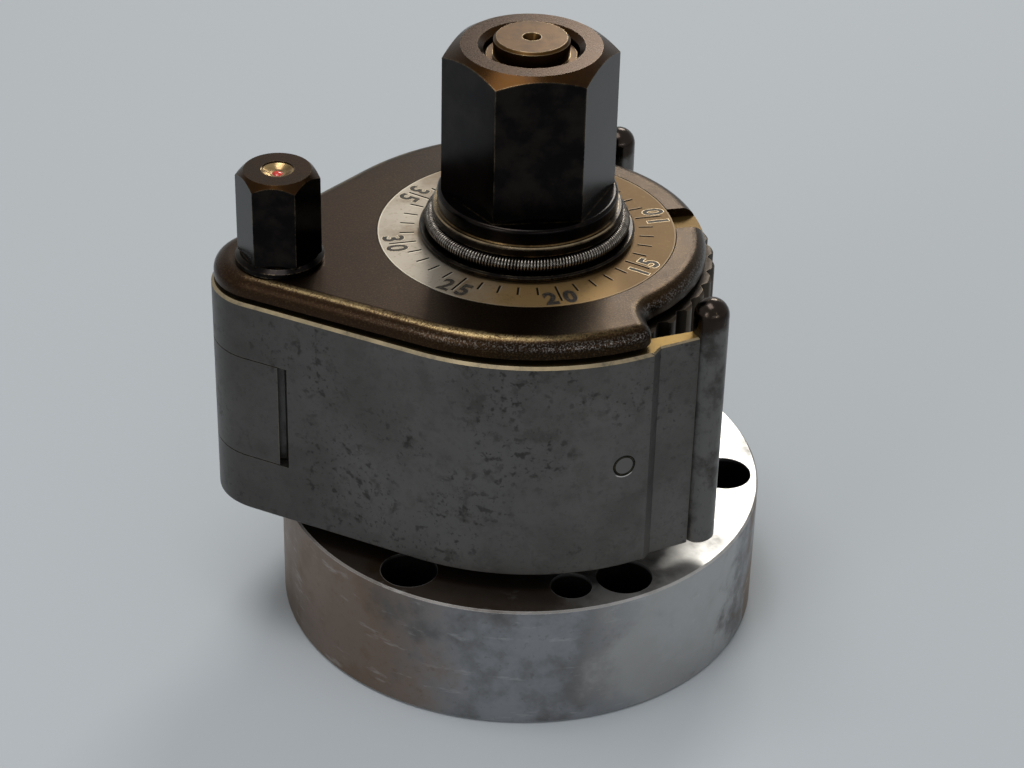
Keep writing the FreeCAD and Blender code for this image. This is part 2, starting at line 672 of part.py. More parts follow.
def end_strip():
    """The strip that the clamp bar is seated on, set back from the corner of the large arc."""
    root_x = JAW_END_X - STRIP_ROOT
    strip = prism(Part.makePolygon([
        V(root_x, -STRIP_IN_Y, 0),
        V(root_x, STRIP_SHADOW - CORNER_Y, 0),
        V(JAW_END_X, -CORNER_Y, 0),
        V(JAW_END_X + STRIP_STEP, -STRIP_OUT_Y, 0),
        V(STRIP_END_X, -STRIP_OUT_END_Y, 0),
        V(STRIP_END_X, -STRIP_IN_END_Y, 0),
        V(root_x, -STRIP_IN_Y, 0),
    ]), JAW_BOTTOM, JAW_TOP)
    rim = pick_edges(strip, lambda e: at_jaw_ends(e) and e.BoundBox.Center.x > JAW_END_X)
    return strip.makeChamfer(STRIP_EDGE, rim)


def jaw_half():
    """The front half of the band: flank, large arc, step and end strip, bored to pass the teeth."""
    front = box(-2.0 * BASE_R, JAW_END_X + CUT_MARGIN, -2.0 * BASE_R, -JAW_PARTING, 0, JAW_TOP + CUT_MARGIN)
    band = jaw_blank().common(front)
    half = band.fuse(end_strip())
    half = half.cut(cylinder(JAW_BORE_R, JAW_BOTTOM - CUT_MARGIN, JAW_TOP + CUT_MARGIN))
    seat_r = BAR_R + BAR_SEAT_CLEAR
    half = half.cut(cylinder(seat_r, JAW_BOTTOM - CUT_MARGIN, JAW_TOP + CUT_MARGIN, BAR_X, -BAR_Y))
    return half.removeSplitter()


def nose_block(bottom, top):
    """The part of the band round the hinge, on both sides of the X axis."""
    block = jaw_blank().common(box(-2.0 * BASE_R, HINGE_STEP_X, -BASE_R, BASE_R, bottom, top))
    return block.fuse(cylinder(HINGE_R, bottom, top, HINGE_X, HINGE_Y)).removeSplitter()


def hinge_space(bottom, top):
    """What the other jaw's knuckle needs: its own block and the gap round it."""
    band = prism(head_outline(-CUT_MARGIN, JAW_END_X), bottom, top)
    step = HINGE_STEP_X + HINGE_STEP_GAP
    block = band.common(box(-2.0 * BASE_R, step, -BASE_R, BASE_R, bottom, top))
    return block.fuse(cylinder(HINGE_R + 2.0 * RUN_CLEAR, bottom, top, HINGE_X, HINGE_Y))


def knuckle_bore():
    return cylinder(HINGE_BUSH_R + JOURNAL_CLEAR, JAW_BOTTOM - CUT_MARGIN, JAW_TOP + CUT_MARGIN,
                    HINGE_X, HINGE_Y)


def plunger_axis():
    """The direction from the core's axis out through the front jaw's plunger."""
    return polar(1.0, -PLUG_ANGLE)


def radial_cylinder(radius, inner, outer):
    axis = plunger_axis()
    return Part.makeCylinder(radius, outer - inner, V(axis.x * inner, axis.y * inner, PLUG_Z), axis)


def plug_seat_r():
    return BALL_INNER_R + 2.0 * BALL_R + PLUG_SPRING_SPACE


def plunger_hole():
    """A bore for the ball and its spring, with a wider seat for the plug that closes it."""
    seat = radial_cylinder(PLUG_R, plug_seat_r(), plug_seat_r() + 2.0 * PLUG_R)
    mouth = radial_cylinder(BALL_R + PLUNGER_CLEAR, JAW_BORE_R - 2.0 * CUT_MARGIN,
                            plug_seat_r() + FUSE_MARGIN)
    return seat.fuse(mouth)


def bar_pins():
    """Pins from the end of the strip into the clamp bar."""
    middle_y = -(STRIP_OUT_END_Y + STRIP_IN_END_Y) / 2.0
    start = STRIP_END_X - BAR_PIN_INSET - BAR_PIN_LENGTH / 2.0
    pins = []
    for height in BAR_PIN_HEIGHTS:
        place = V(start, middle_y, JAW_BOTTOM + height)
        pins.append(Part.makeCylinder(BAR_PIN_R, BAR_PIN_LENGTH, place, V(1, 0, 0)))
    return Part.makeCompound(pins)


def make_front_jaw():
    lower_ear = (JAW_BOTTOM, JAW_BOTTOM + LOWER_EAR_H)
    upper_ear = (JAW_TOP - UPPER_EAR_H, JAW_TOP)
    jaw = jaw_half().cut(hinge_space(lower_ear[1], upper_ear[0]))
    for bottom, top in (lower_ear, upper_ear):
        ear = nose_block(bottom, top)
        jaw = jaw.fuse(ear)
    jaw = jaw.cut(cylinder(JAW_BORE_R, JAW_BOTTOM - CUT_MARGIN, JAW_TOP + CUT_MARGIN))
    jaw = jaw.cut(knuckle_bore())
    jaw = jaw.cut(plunger_hole())
    return jaw.cut(bar_pins()).removeSplitter()


def make_rear_jaw():
    lower_ear_top = JAW_BOTTOM + LOWER_EAR_H + EAR_GAP
    upper_ear_bottom = JAW_TOP - UPPER_EAR_H - EAR_GAP
    jaw = mirrored(jaw_half())
    jaw = jaw.cut(hinge_space(JAW_BOTTOM - CUT_MARGIN, lower_ear_top))
    jaw = jaw.cut(hinge_space(upper_ear_bottom, JAW_TOP + CUT_MARGIN))
    jaw = jaw.fuse(nose_block(lower_ear_top, upper_ear_bottom))
    jaw = jaw.cut(cylinder(JAW_BORE_R, JAW_BOTTOM - CUT_MARGIN, JAW_TOP + CUT_MARGIN))
    jaw = jaw.cut(knuckle_bore())
    jaw = jaw.cut(mirrored(plunger_hole()))
    return jaw.cut(mirrored(bar_pins())).removeSplitter()


def make_clamp_bar():
    bar = spun([
        (0, BAR_BOTTOM),
        (BAR_R - BAR_EDGE, BAR_BOTTOM),
        (BAR_R, BAR_BOTTOM + BAR_EDGE),
        (BAR_R, BAR_DOME_Z),
        (0, BAR_DOME_Z),
    ], BAR_X, -BAR_Y)
    dome = Part.makeSphere(BAR_R, V(BAR_X, -BAR_Y, BAR_DOME_Z))
    return bar.fuse(dome).cut(bar_pins()).removeSplitter()


def plug_outer_face():
    """The jaw's outer surface, which trims the plug flush."""
    return prism(head_outline(0.0, JAW_END_X), JAW_BOTTOM, JAW_TOP)


def make_plug():
    plug = radial_cylinder(PLUG_R, plug_seat_r(), plug_seat_r() + 2.0 * PLUG_R)
    return plug.common(plug_outer_face())


def make_ball():
    axis = plunger_axis()
    place = axis * (BALL_INNER_R + BALL_R)
    return Part.makeSphere(BALL_R, V(place.x, place.y, PLUG_Z))


def make_plunger_spring():
    axis = plunger_axis()
    start = BALL_INNER_R + BALL_R + reach_to_spring(BALL_R, PLUG_SPRING_R) + PLUNGER_CLEAR
    place = axis * start
    length = plug_seat_r() - start - PLUNGER_CLEAR
    return coil(V(place.x, place.y, PLUG_Z), axis, length, PLUG_SPRING_R, SPRING_WIRE_R, PLUG_SPRING_TURNS)


def make_nut_washer():
    return spun([
        (STUD_BORE_R, DIAL_TOP),
        (WASHER_R - WASHER_FOOT_EDGE, DIAL_TOP),
        (WASHER_R, DIAL_TOP + WASHER_FOOT_EDGE),
        (WASHER_R, WASHER_TOP - WASHER_EDGE),
        (WASHER_R - WASHER_EDGE, WASHER_TOP),
        (STUD_BORE_R, WASHER_TOP),
    ])


def make_clamp_nut():
    """Hexagon, rounded flange, the wider step below it and the skirt that carries the garter spring."""
    flange_top = FLANGE_BOTTOM + FLANGE_H
    nut = chamfered_hexagon(NUT_AF, NUT_TURN, flange_top - CUT_MARGIN, NUT_TOP, NUT_EDGE)
    flange = cylinder(FLANGE_R, FLANGE_BOTTOM - FUSE_MARGIN, flange_top)
    flange = flange.makeFillet(FLANGE_ROUND, pick_edges(flange, lambda e: at_height(e, flange_top)))
    step = cylinder(STEP_R, STEP_BOTTOM, FLANGE_BOTTOM)
    step = step.makeChamfer(STEP_EDGE, pick_edges(step, lambda e: at_height(e, FLANGE_BOTTOM)))
    nut = nut.fuse(flange).fuse(step)
    nut = nut.fuse(cylinder(NUT_SKIRT_R, WASHER_TOP, STEP_BOTTOM + FUSE_MARGIN))
    bore_r = STUD_R + THREAD_CLEAR
    nut = nut.cut(cylinder(bore_r, WASHER_TOP - CUT_MARGIN, NUT_TOP + CUT_MARGIN))
    countersink = spun([
        (0, NUT_TOP - NUT_COUNTERSINK - CUT_MARGIN),
        (bore_r - CUT_MARGIN, NUT_TOP - NUT_COUNTERSINK - CUT_MARGIN),
        (bore_r + NUT_COUNTERSINK + FUSE_MARGIN, NUT_TOP + FUSE_MARGIN),
        (0, NUT_TOP + FUSE_MARGIN),
    ])
    return nut.cut(countersink).removeSplitter()


def make_garter_spring():
    return Part.makeTorus(GARTER_R, GARTER_COIL_R, V(0, 0, GARTER_Z))


def all_parts():
    parts = {
        "base_disk": make_base_disk(),
        "centre_stud": make_centre_stud(),
        "stud_pin": stud_pin(),
        "core_dowels": core_dowels(),
        "splined_core": make_splined_core(),
        "dial_pins": dial_pins(),
        "dial_ring": make_dial_ring(),
        "cover_plate": make_cover_plate(),
        "cover_bush": make_cover_bush(),
        "lower_plate": make_lower_plate(),
        "lower_bush": make_lower_bush(),
        "eccentric_spindle": make_eccentric_spindle(),
        "spindle_circlip": make_spindle_circlip(),
        "oiler_cup": make_oiler_cup(),
        "oiler_ball": make_oiler_ball(),
        "oiler_spring": make_oiler_spring(),
        "hinge_bush": make_hinge_bush(),
        "front_jaw": make_front_jaw(),
        "rear_jaw": make_rear_jaw(),
        "nut_washer": make_nut_washer(),
        "clamp_nut": make_clamp_nut(),
        "garter_spring": make_garter_spring(),
    }
    paired = {
        "clamp_bar": make_clamp_bar(),
        "bar_pins": bar_pins(),
        "index_plug": make_plug(),
        "index_ball": make_ball(),
        "index_spring": make_plunger_spring(),
    }
    for name, shape in paired.items():
        parts["front_" + name] = shape
        parts["rear_" + name] = mirrored(shape)
    return parts


os.makedirs("parts", exist_ok=True)
for name, shape in all_parts().items():
    shape.exportStep("parts/" + name + ".step")
    print(name, "solids", len(shape.Solids), "valid", shape.isValid(), "volume", round(shape.Volume, 2))
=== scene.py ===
"""Looks of the quick-change lathe tool post.

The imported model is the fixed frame. Every node of it gets a finish here, the garter spring is wound as
a real coil, the dial gets its stamped numbers, and a camera, lamps and a plain floor show the part.
Sizes are in millimetres in the classes and in metres in the meshes.
"""

import logging
import math
from dataclasses import dataclass, field
from enum import Enum
from typing import Dict, Mapping, Optional, Tuple, Union

import bmesh
import bpy
from mathutils import Matrix, Vector


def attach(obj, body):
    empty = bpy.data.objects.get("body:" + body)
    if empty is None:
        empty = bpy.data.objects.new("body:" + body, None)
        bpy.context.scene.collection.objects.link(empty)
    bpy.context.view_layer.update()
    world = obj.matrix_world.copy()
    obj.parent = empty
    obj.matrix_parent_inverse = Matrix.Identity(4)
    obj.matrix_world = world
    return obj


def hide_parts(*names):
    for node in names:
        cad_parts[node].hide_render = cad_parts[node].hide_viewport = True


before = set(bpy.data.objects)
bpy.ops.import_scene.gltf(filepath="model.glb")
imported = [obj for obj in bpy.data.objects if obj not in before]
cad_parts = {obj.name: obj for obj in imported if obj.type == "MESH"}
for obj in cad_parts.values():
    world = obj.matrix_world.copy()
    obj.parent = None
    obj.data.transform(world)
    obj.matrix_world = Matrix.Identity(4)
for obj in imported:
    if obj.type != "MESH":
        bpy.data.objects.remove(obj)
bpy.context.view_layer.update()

LOG = logging.getLogger("tool_post")
MM = 0.001
COAT_ROUGHNESS = 0.1

Colour = Tuple[float, float, float]
Value = Union[float, int, "Field"]


class Op(Enum):
    """Operations of the Math node that the fields use."""

    ADD = "ADD"
    SUBTRACT = "SUBTRACT"
    MULTIPLY = "MULTIPLY"
    MAXIMUM = "MAXIMUM"
    SQRT = "SQRT"
    ABSOLUTE = "ABSOLUTE"
    ARCTAN2 = "ARCTAN2"
    ROUND = "ROUND"


class Body(Enum):
    """The moving bodies of the tool post."""

    POST = "post"
    HEAD = "head"
    ECCENTRIC = "eccentric"
    JAW_HINGE = "jaw_hinge"
    FRONT_ARM = "front_arm"
    REAR_ARM = "rear_arm"
    NUT_SEAT = "nut_seat"
    NUT = "nut"


# --------------------------------------------------------------------------- shader maths


class Field:
    """A number that varies over a surface: one node socket that takes part in Python arithmetic."""

    def __init__(self, recipe: "Recipe", socket: bpy.types.NodeSocket) -> None:
        """Wraps a socket of a recipe's node tree.

        Args:
            recipe: The material being built.
            socket: The output socket that carries the number or colour.
        """
        self.recipe = recipe
        self.socket = socket

    def _with(self, op: Op, first: Value, second: Value) -> "Field":
        """A Math node on two values."""
        return self.recipe.maths(op, first, second)

    def __add__(self, other: Value) -> "Field":
        """self + other."""
        return self._with(Op.ADD, self, other)

    def __radd__(self, other: Value) -> "Field":
        """other + self."""
        return self._with(Op.ADD, other, self)

    def __sub__(self, other: Value) -> "Field":
        """self - other."""
        return self._with(Op.SUBTRACT, self, other)

    def __rsub__(self, other: Value) -> "Field":
        """other - self."""
        return self._with(Op.SUBTRACT, other, self)

    def __mul__(self, other: Value) -> "Field":
        """self * other."""
        return self._with(Op.MULTIPLY, self, other)

    def __rmul__(self, other: Value) -> "Field":
        """other * self."""
        return self._with(Op.MULTIPLY, other, self)


class Recipe:
    """Builds the node tree of one material on Object coordinates, which are in metres."""

    def __init__(self, name: str) -> None:
        """Starts an empty material.

        Args:
            name: The material's name.
        """
        self.material = bpy.data.materials.new(name)
        self.material.use_nodes = True
        self.tree = self.material.node_tree
        self.tree.nodes.clear()
        self._place: Optional[Field] = None
        self._axes: Dict[str, Field] = {}

    def node(
        self,
        kind: str,
        settings: Optional[Mapping[str, object]] = None,
        values: Optional[Mapping[Union[str, int], object]] = None,
    ) -> bpy.types.Node:
        """Adds a node, sets it up and feeds its sockets.

        Args:
            kind: The node's type, such as ShaderNodeTexNoise.
            settings: Its properties, set first.
            values: A number, colour or Field for each socket, by name or index.

        Returns:
            The new node.
        """
        made = self.tree.nodes.new(kind)
        for key, setting in (settings or {}).items():
            setattr(made, key, setting)
        for key, value in (values or {}).items():
            if isinstance(value, Field):
                self.tree.links.new(value.socket, made.inputs[key])
            else:
                made.inputs[key].default_value = value
        return made

    def out(self, made: bpy.types.Node, key: Union[str, int] = 0) -> Field:
        """An output of a node as a field."""
        return Field(self, made.outputs[key])

    def maths(self, op: Op, first: Value, second: Value = 0.0, clamp: bool = False) -> Field:
        """A Math node.

        Args:
            op: The operation.
            first: The first number.
            second: The second number.
            clamp: Whether the result is kept between 0 and 1.

        Returns:
            The result.
        """
        settings = {"operation": op.value, "use_clamp": clamp}
        return self.out(self.node("ShaderNodeMath", settings, {0: first, 1: second}))

    def place(self) -> Field:
        """The Object coordinates as a vector."""
        if self._place is None:
            self._place = self.out(self.node("ShaderNodeTexCoord"), "Object")
        return self._place

    def axis(self, letter: str) -> Field:
        """One Object coordinate, in metres: X, Y or Z."""
        if not self._axes:
            parts = self.node("ShaderNodeSeparateXYZ", None, {0: self.place()})
            self._axes = {name: self.out(parts, name) for name in "XYZ"}
        return self._axes[letter]

    def length(self, across: Field, along: Field) -> Field:
        """The length of a line from its two parts."""
        return self.maths(Op.SQRT, across * across + along * along)

    def radius(self) -> Field:
        """The distance from the post's axis, in metres."""
        return self.length(self.axis("X"), self.axis("Y"))

    def size(self, value: Field) -> Field:
        """A number without its sign."""
        return self.maths(Op.ABSOLUTE, value)

    def stretched(self, scale: Tuple[float, float, float], shift: float = 0.0) -> Field:
        """The Object coordinates scaled by axis and shifted, for a grain that runs one way."""
        settings = {"vector_type": "POINT"}
        values = {"Vector": self.place(), "Scale": scale, "Location": (shift, shift, shift)}
        return self.out(self.node("ShaderNodeMapping", settings, values))

    def noise(
        self,
        size: float,
        detail: float = 4.0,
        rough: float = 0.55,
        shift: float = 0.0,
        grain: Tuple[float, float, float] = (1.0, 1.0, 1.0),
    ) -> Field:
        """Cloudy noise about 0.5.

        Args:
            size: The size of its blotches, in millimetres.
            detail: How many finer layers it has.
            rough: How strong the finer layers are.
            shift: Moves it, so that two noises differ.
            grain: A stretch by axis.

        Returns:
            The noise.
        """
        values = {
            "Vector": self.stretched(grain, shift),
            "Scale": 1000.0 / size,
            "Detail": detail,
            "Roughness": rough,
        }
        return self.out(self.node("ShaderNodeTexNoise", None, values), 0)

    def lines(self, along: Field, size: float, detail: float = 3.0) -> Field:
        """Noise along one number only, such as the rings that a lathe leaves.

        Args:
            along: The number, in metres.
            size: The spacing, in millimetres.
            detail: How many finer layers it has.

        Returns:
            The noise.
        """
        settings = {"noise_dimensions": "1D"}
        values = {"W": along, "Scale": 1000.0 / size, "Detail": detail}
        return self.out(self.node("ShaderNodeTexNoise", settings, values), 0)

    def rise(self, value: Value, low: float, high: float) -> Field:
        """A smooth step from 0 at low to 1 at high, or the other way where low is the larger."""
        if low > high:
            return 1.0 - self.rise(value, high, low)
        settings = {"interpolation_type": "SMOOTHSTEP"}
        return self.out(self.node("ShaderNodeMapRange", settings, {0: value, 1: low, 2: high}))

    def facing_up(self) -> Field:
        """How far the surface faces up: its normal's Z."""
        normal = self.out(self.node("ShaderNodeNewGeometry"), "Normal")
        return self.out(self.node("ShaderNodeSeparateXYZ", None, {0: normal}), "Z")

    def edges(self, radius: float, low: float = 0.02, high: float = 0.25) -> Field:
        """A mask of the corners: how much the surface turns within a radius.

        Args:
            radius: How far it looks, in millimetres.
            low: The turn at which the mask starts.
            high: The turn at which it is full.

        Returns:
            The mask.
        """
        settings = {"samples": 6}
        bevel = self.out(self.node("ShaderNodeBevel", settings, {"Radius": radius * MM}), "Normal")
        flat = self.out(self.node("ShaderNodeNewGeometry"), "Normal")
        dot = {"operation": "DOT_PRODUCT"}
        same = self.out(self.node("ShaderNodeVectorMath", dot, {0: bevel, 1: flat}), "Value")
        return self.rise(1.0 - same, low * 0.5, high * 0.5)

    def mix(self, mask: Value, under: Union[Colour, Field], over: Union[Colour, Field]) -> Field:
        """Two colours mixed by a mask.

        Args:
            mask: 0 shows the first colour and 1 the second.
            under: The first colour.
            over: The second colour.

        Returns:
            The mixed colour.
        """
        first = under if isinstance(under, Field) else (*under, 1.0)
        second = over if isinstance(over, Field) else (*over, 1.0)
        settings = {"data_type": "RGBA", "clamp_factor": True}
        return self.out(self.node("ShaderNodeMix", settings, {0: mask, 6: first, 7: second}), 2)

    def bump(self, height: Field, depth: float) -> Field:
        """A bumped normal.

        Args:
            height: The height, 0 to 1.
            depth: The real depth of a height of 1, in millimetres.

        Returns:
            The normal.
        """
        values = {"Strength": 1.0, "Distance": depth * MM, "Height": height}
        return self.out(self.node("ShaderNodeBump", None, values), "Normal")

    def surface(
        self,
        colour: Union[Colour, Field],
        roughness: Value,
        metallic: Value = 1.0,
        normal: Optional[Field] = None,
        coat: float = 0.0,
        specular: float = 0.5,
    ) -> bpy.types.Material:
        """Ends the recipe with its shader.

        Args:
            colour: The base colour.
            roughness: The roughness.
            metallic: How metallic it is.
            normal: A bumped normal.
            coat: The weight of a clear coat, such as a film of oil.
            specular: The specular level of what isn't metal.

        Returns:
            The material.
        """
        base = colour if isinstance(colour, Field) else (*colour, 1.0)
        values: Dict[Union[str, int], object] = {
            "Base Color": base,
            "Roughness": roughness,
            "Metallic": metallic,
            "Coat Weight": coat,
            "Coat Roughness": COAT_ROUGHNESS,
            "Specular IOR Level": specular,
        }
        if normal is not None:
            values["Normal"] = normal
        shader = self.node("ShaderNodeBsdfPrincipled", None, values)
        output = self.node("ShaderNodeOutputMaterial")
        self.tree.links.new(shader.outputs[0], output.inputs["Surface"])
        return self.material


# --------------------------------------------------------------------------- finishes


@dataclass(frozen=True)
class TurnedBaseSteel:
    """Satin turned steel of the base: fine tool marks, oil stains, scuffs and a bright rim, with a
    painted reflection of a brown board at both ends of its side, a painted highlight on the side between
    them, and painted shade on the left part of the top face and inside the holes.
    """

    radius: float = 77.0
    height: float = 43.0
    steel: Colour = (0.30, 0.305, 0.32)
    dull: Colour = (0.15, 0.145, 0.142)
    tan: Colour = (0.185, 0.105, 0.052)
    oiled: Colour = (0.050, 0.026, 0.010)
    sheen: Colour = (0.50, 0.495, 0.49)
    stain: Colour = (0.075, 0.062, 0.052)
    bright: Colour = (0.62, 0.62, 0.61)
    hole: Colour = (0.035, 0.030, 0.027)

    def build(self) -> bpy.types.Material:
        """Makes the material."""
        mix = Recipe("base_steel")
        x, z = mix.axis("X"), mix.axis("Z")
        r = mix.radius()
        up = mix.facing_up()
        top = mix.rise(up, 0.5, 0.9)
        clouds = mix.noise(26.0, 5.0, 0.62)
        blotches = mix.noise(7.0, 5.0, 0.6, 3.1)
        specks = mix.rise(mix.noise(2.2, 3.0, 0.6, 7.7), 0.60, 0.70)
        rings = mix.lines(r, 0.5)
        grooves = mix.lines(z, 0.35)
        marks = rings * top + grooves * (1.0 - top)
        colour = mix.mix(mix.rise(clouds, 0.40, 0.66), self.steel, self.dull)
        colour = mix.mix(mix.rise(blotches, 0.52, 0.74) * 0.28, colour, self.stain)
        colour = mix.mix(specks * 0.25, colour, self.stain)
        drift = (clouds - 0.5) * 0.09
        # Painted reflection: a warm brown board reflected in both ends of the side, left and right.
        board_reflection_ends = mix.maths(
            Op.MAXIMUM,
            mix.rise(x + drift, -30.0 * MM, -62.0 * MM),
            mix.rise(x + drift, 66.0 * MM, 76.0 * MM),
        )
        colour = mix.mix(board_reflection_ends * (1.0 - top) * 0.7, colour, self.tan)
        # Painted highlight: a broad pale gloss painted on the side between its two ends.
        painted_sheen_band = mix.rise(x + drift, 2.0 * MM, 30.0 * MM) * mix.rise(x + drift, 66.0 * MM, 50.0 * MM)
        colour = mix.mix(painted_sheen_band * (1.0 - top) * 0.70, colour, self.sheen)
        colour = mix.mix(top * mix.rise(clouds, 0.72, 0.40), colour, self.bright)
        # Painted shade: the top face is painted dark brown on its left part, where it lies in shade
        # under the head.
        colour = mix.mix(top * mix.rise(x + drift, 24.0 * MM, -12.0 * MM) * 0.9, colour, self.oiled)
        scuffs = mix.rise(mix.noise(3.0, 4.0, 0.6, 2.3, (0.22, 0.22, 1.0)), 0.60, 0.72)
        colour = mix.mix(scuffs * 0.25, colour, self.bright)
        colour = mix.mix(mix.edges(0.5, 0.04, 0.30) * 0.8, colour, self.bright)
        # Painted shade: the walls inside the holes, below the top face and above the bottom, are painted
        # near black.
        inside = mix.rise(r, (self.radius - 1.6) * MM, (self.radius - 1.9) * MM)
        below = mix.rise(z, (self.height - 0.3) * MM, (self.height - 1.6) * MM)
        under = mix.rise(z, 0.3 * MM, 0.9 * MM)
        colour = mix.mix(inside * below * under, colour, self.hole)
        rough = 0.27 + clouds * 0.16 + blotches * 0.10 + marks * 0.06
        normal = mix.bump(marks * 0.7 + blotches * 0.5, 0.010)
        return mix.surface(colour, rough, 1.0, normal)


@dataclass(frozen=True)
class MottledJawSteel:
    """Grey hardened steel of the jaws: spotted, with a dark ring round the plug, a painted highlight
    below that ring, painted shade on the nose and a painted warm reflection on the top ledge, olive
    towards the nose and golden further back.
    """

    name: str = "jaw_grey"
    top: float = 123.5
    tone: Colour = (0.096, 0.091, 0.085)
    light: Colour = (0.138, 0.132, 0.125)
    dark: Colour = (0.036, 0.033, 0.031)
    black: Colour = (0.006, 0.006, 0.005)
    face: Colour = (0.150, 0.142, 0.136)
    glint: Colour = (0.60, 0.58, 0.54)
    plug_height: float = 86.2
    plug_angle: float = 76.5
    plug_radius: float = 3.15
    ring_inner: float = 2.80
    ring_outer: float = 3.60
    ledge: Colour = (0.062, 0.042, 0.016)
    gold: Colour = (0.24, 0.155, 0.045)
    worn: Colour = (0.56, 0.45, 0.27)

    def build(self) -> bpy.types.Material:
        """Makes the material."""
        mix = Recipe(self.name)
        z = mix.axis("Z")
        broad = mix.noise(34.0, 3.0, 0.5, 1.7)
        cloud = mix.noise(8.0, 6.0, 0.68)
        fine = mix.noise(1.6, 5.0, 0.65, 4.4)
        patch = mix.rise(mix.noise(30.0, 3.0, 0.5, 12.5), 0.44, 0.60)
        spots = mix.rise(mix.noise(2.6, 2.0, 0.5, 9.2), 0.56, 0.70)
        flecks = mix.rise(mix.noise(1.15, 1.0, 0.5, 6.1), 0.62, 0.76)
        smoke = mix.rise(cloud, 0.50, 0.68)
        colour = mix.mix(mix.rise(broad * 0.5 + cloud * 0.5, 0.38, 0.62), self.tone, self.light)
        colour = mix.mix(smoke * (0.20 + patch * 0.35), colour, self.dark)
        colour = mix.mix(spots * (0.14 + patch * 0.60), colour, self.dark)
        colour = mix.mix(flecks * (0.20 + patch * 0.45), colour, self.dark)
        x = mix.axis("X")
        # Painted shade: the jaw darkens towards the tip of its nose.
        colour = mix.mix(mix.rise(x, -48.0 * MM, -85.0 * MM) * 0.35, colour, self.dark)
        turn = math.radians(self.plug_angle)
        aside = x * math.sin(turn) - mix.size(mix.axis("Y")) * math.cos(turn)
        above = z - self.plug_height * MM
        away = mix.length(aside, above)
        edge = self.plug_radius
        colour = mix.mix(mix.rise(away, edge * MM, (edge - 0.4) * MM) * 0.7, colour, self.face)
        ring = mix.rise(away, (self.ring_inner - 0.1) * MM, (self.ring_inner + 0.1) * MM) * mix.rise(
            away, (self.ring_outer + 0.1) * MM, (self.ring_outer - 0.1) * MM
        )
        colour = mix.mix(ring, colour, self.black)
        # Painted highlight: a thin pale crescent just outside the plug's ring, on its lower side only.
        burr = mix.rise(away, (edge + 0.50) * MM, (edge + 0.62) * MM) * mix.rise(
            away, (edge + 0.95) * MM, (edge + 0.80) * MM
        )
        colour = mix.mix(burr * mix.rise(above, -2.6 * MM, -3.4 * MM), colour, self.glint)
        up = mix.facing_up()
        high = mix.rise(z, (self.top - 1.3) * MM, (self.top - 0.9) * MM)
        # Painted reflection: the flat top ledge is painted dark olive where x is below 18 mm and warm
        # golden beyond 27 mm.
        ledge = mix.rise(up, 0.85, 0.97) * high
        golden = mix.mix(mix.rise(x, 18.0 * MM, 27.0 * MM), self.ledge, self.gold)
        colour = mix.mix(ledge * (0.65 + fine * 0.5), colour, golden)
        bevel = mix.rise(up, 0.45, 0.62) * (1.0 - mix.rise(up, 0.80, 0.92)) * high
        colour = mix.mix(bevel * mix.rise(cloud + fine * 0.5, 0.42, 0.80) * 0.60, colour, self.worn)
        rim = mix.edges(0.5, 0.06, 0.40) * mix.rise(fine, 0.34, 0.60)
        colour = mix.mix(rim * (1.0 - bevel) * 0.15, colour, self.worn)
        rough = 0.34 + cloud * 0.14 + smoke * 0.10 + ledge * 0.10 - bevel * 0.10
        normal = mix.bump(fine * 0.5 + cloud * 0.7, 0.016)
        return mix.surface(colour, rough, 1.0, normal)


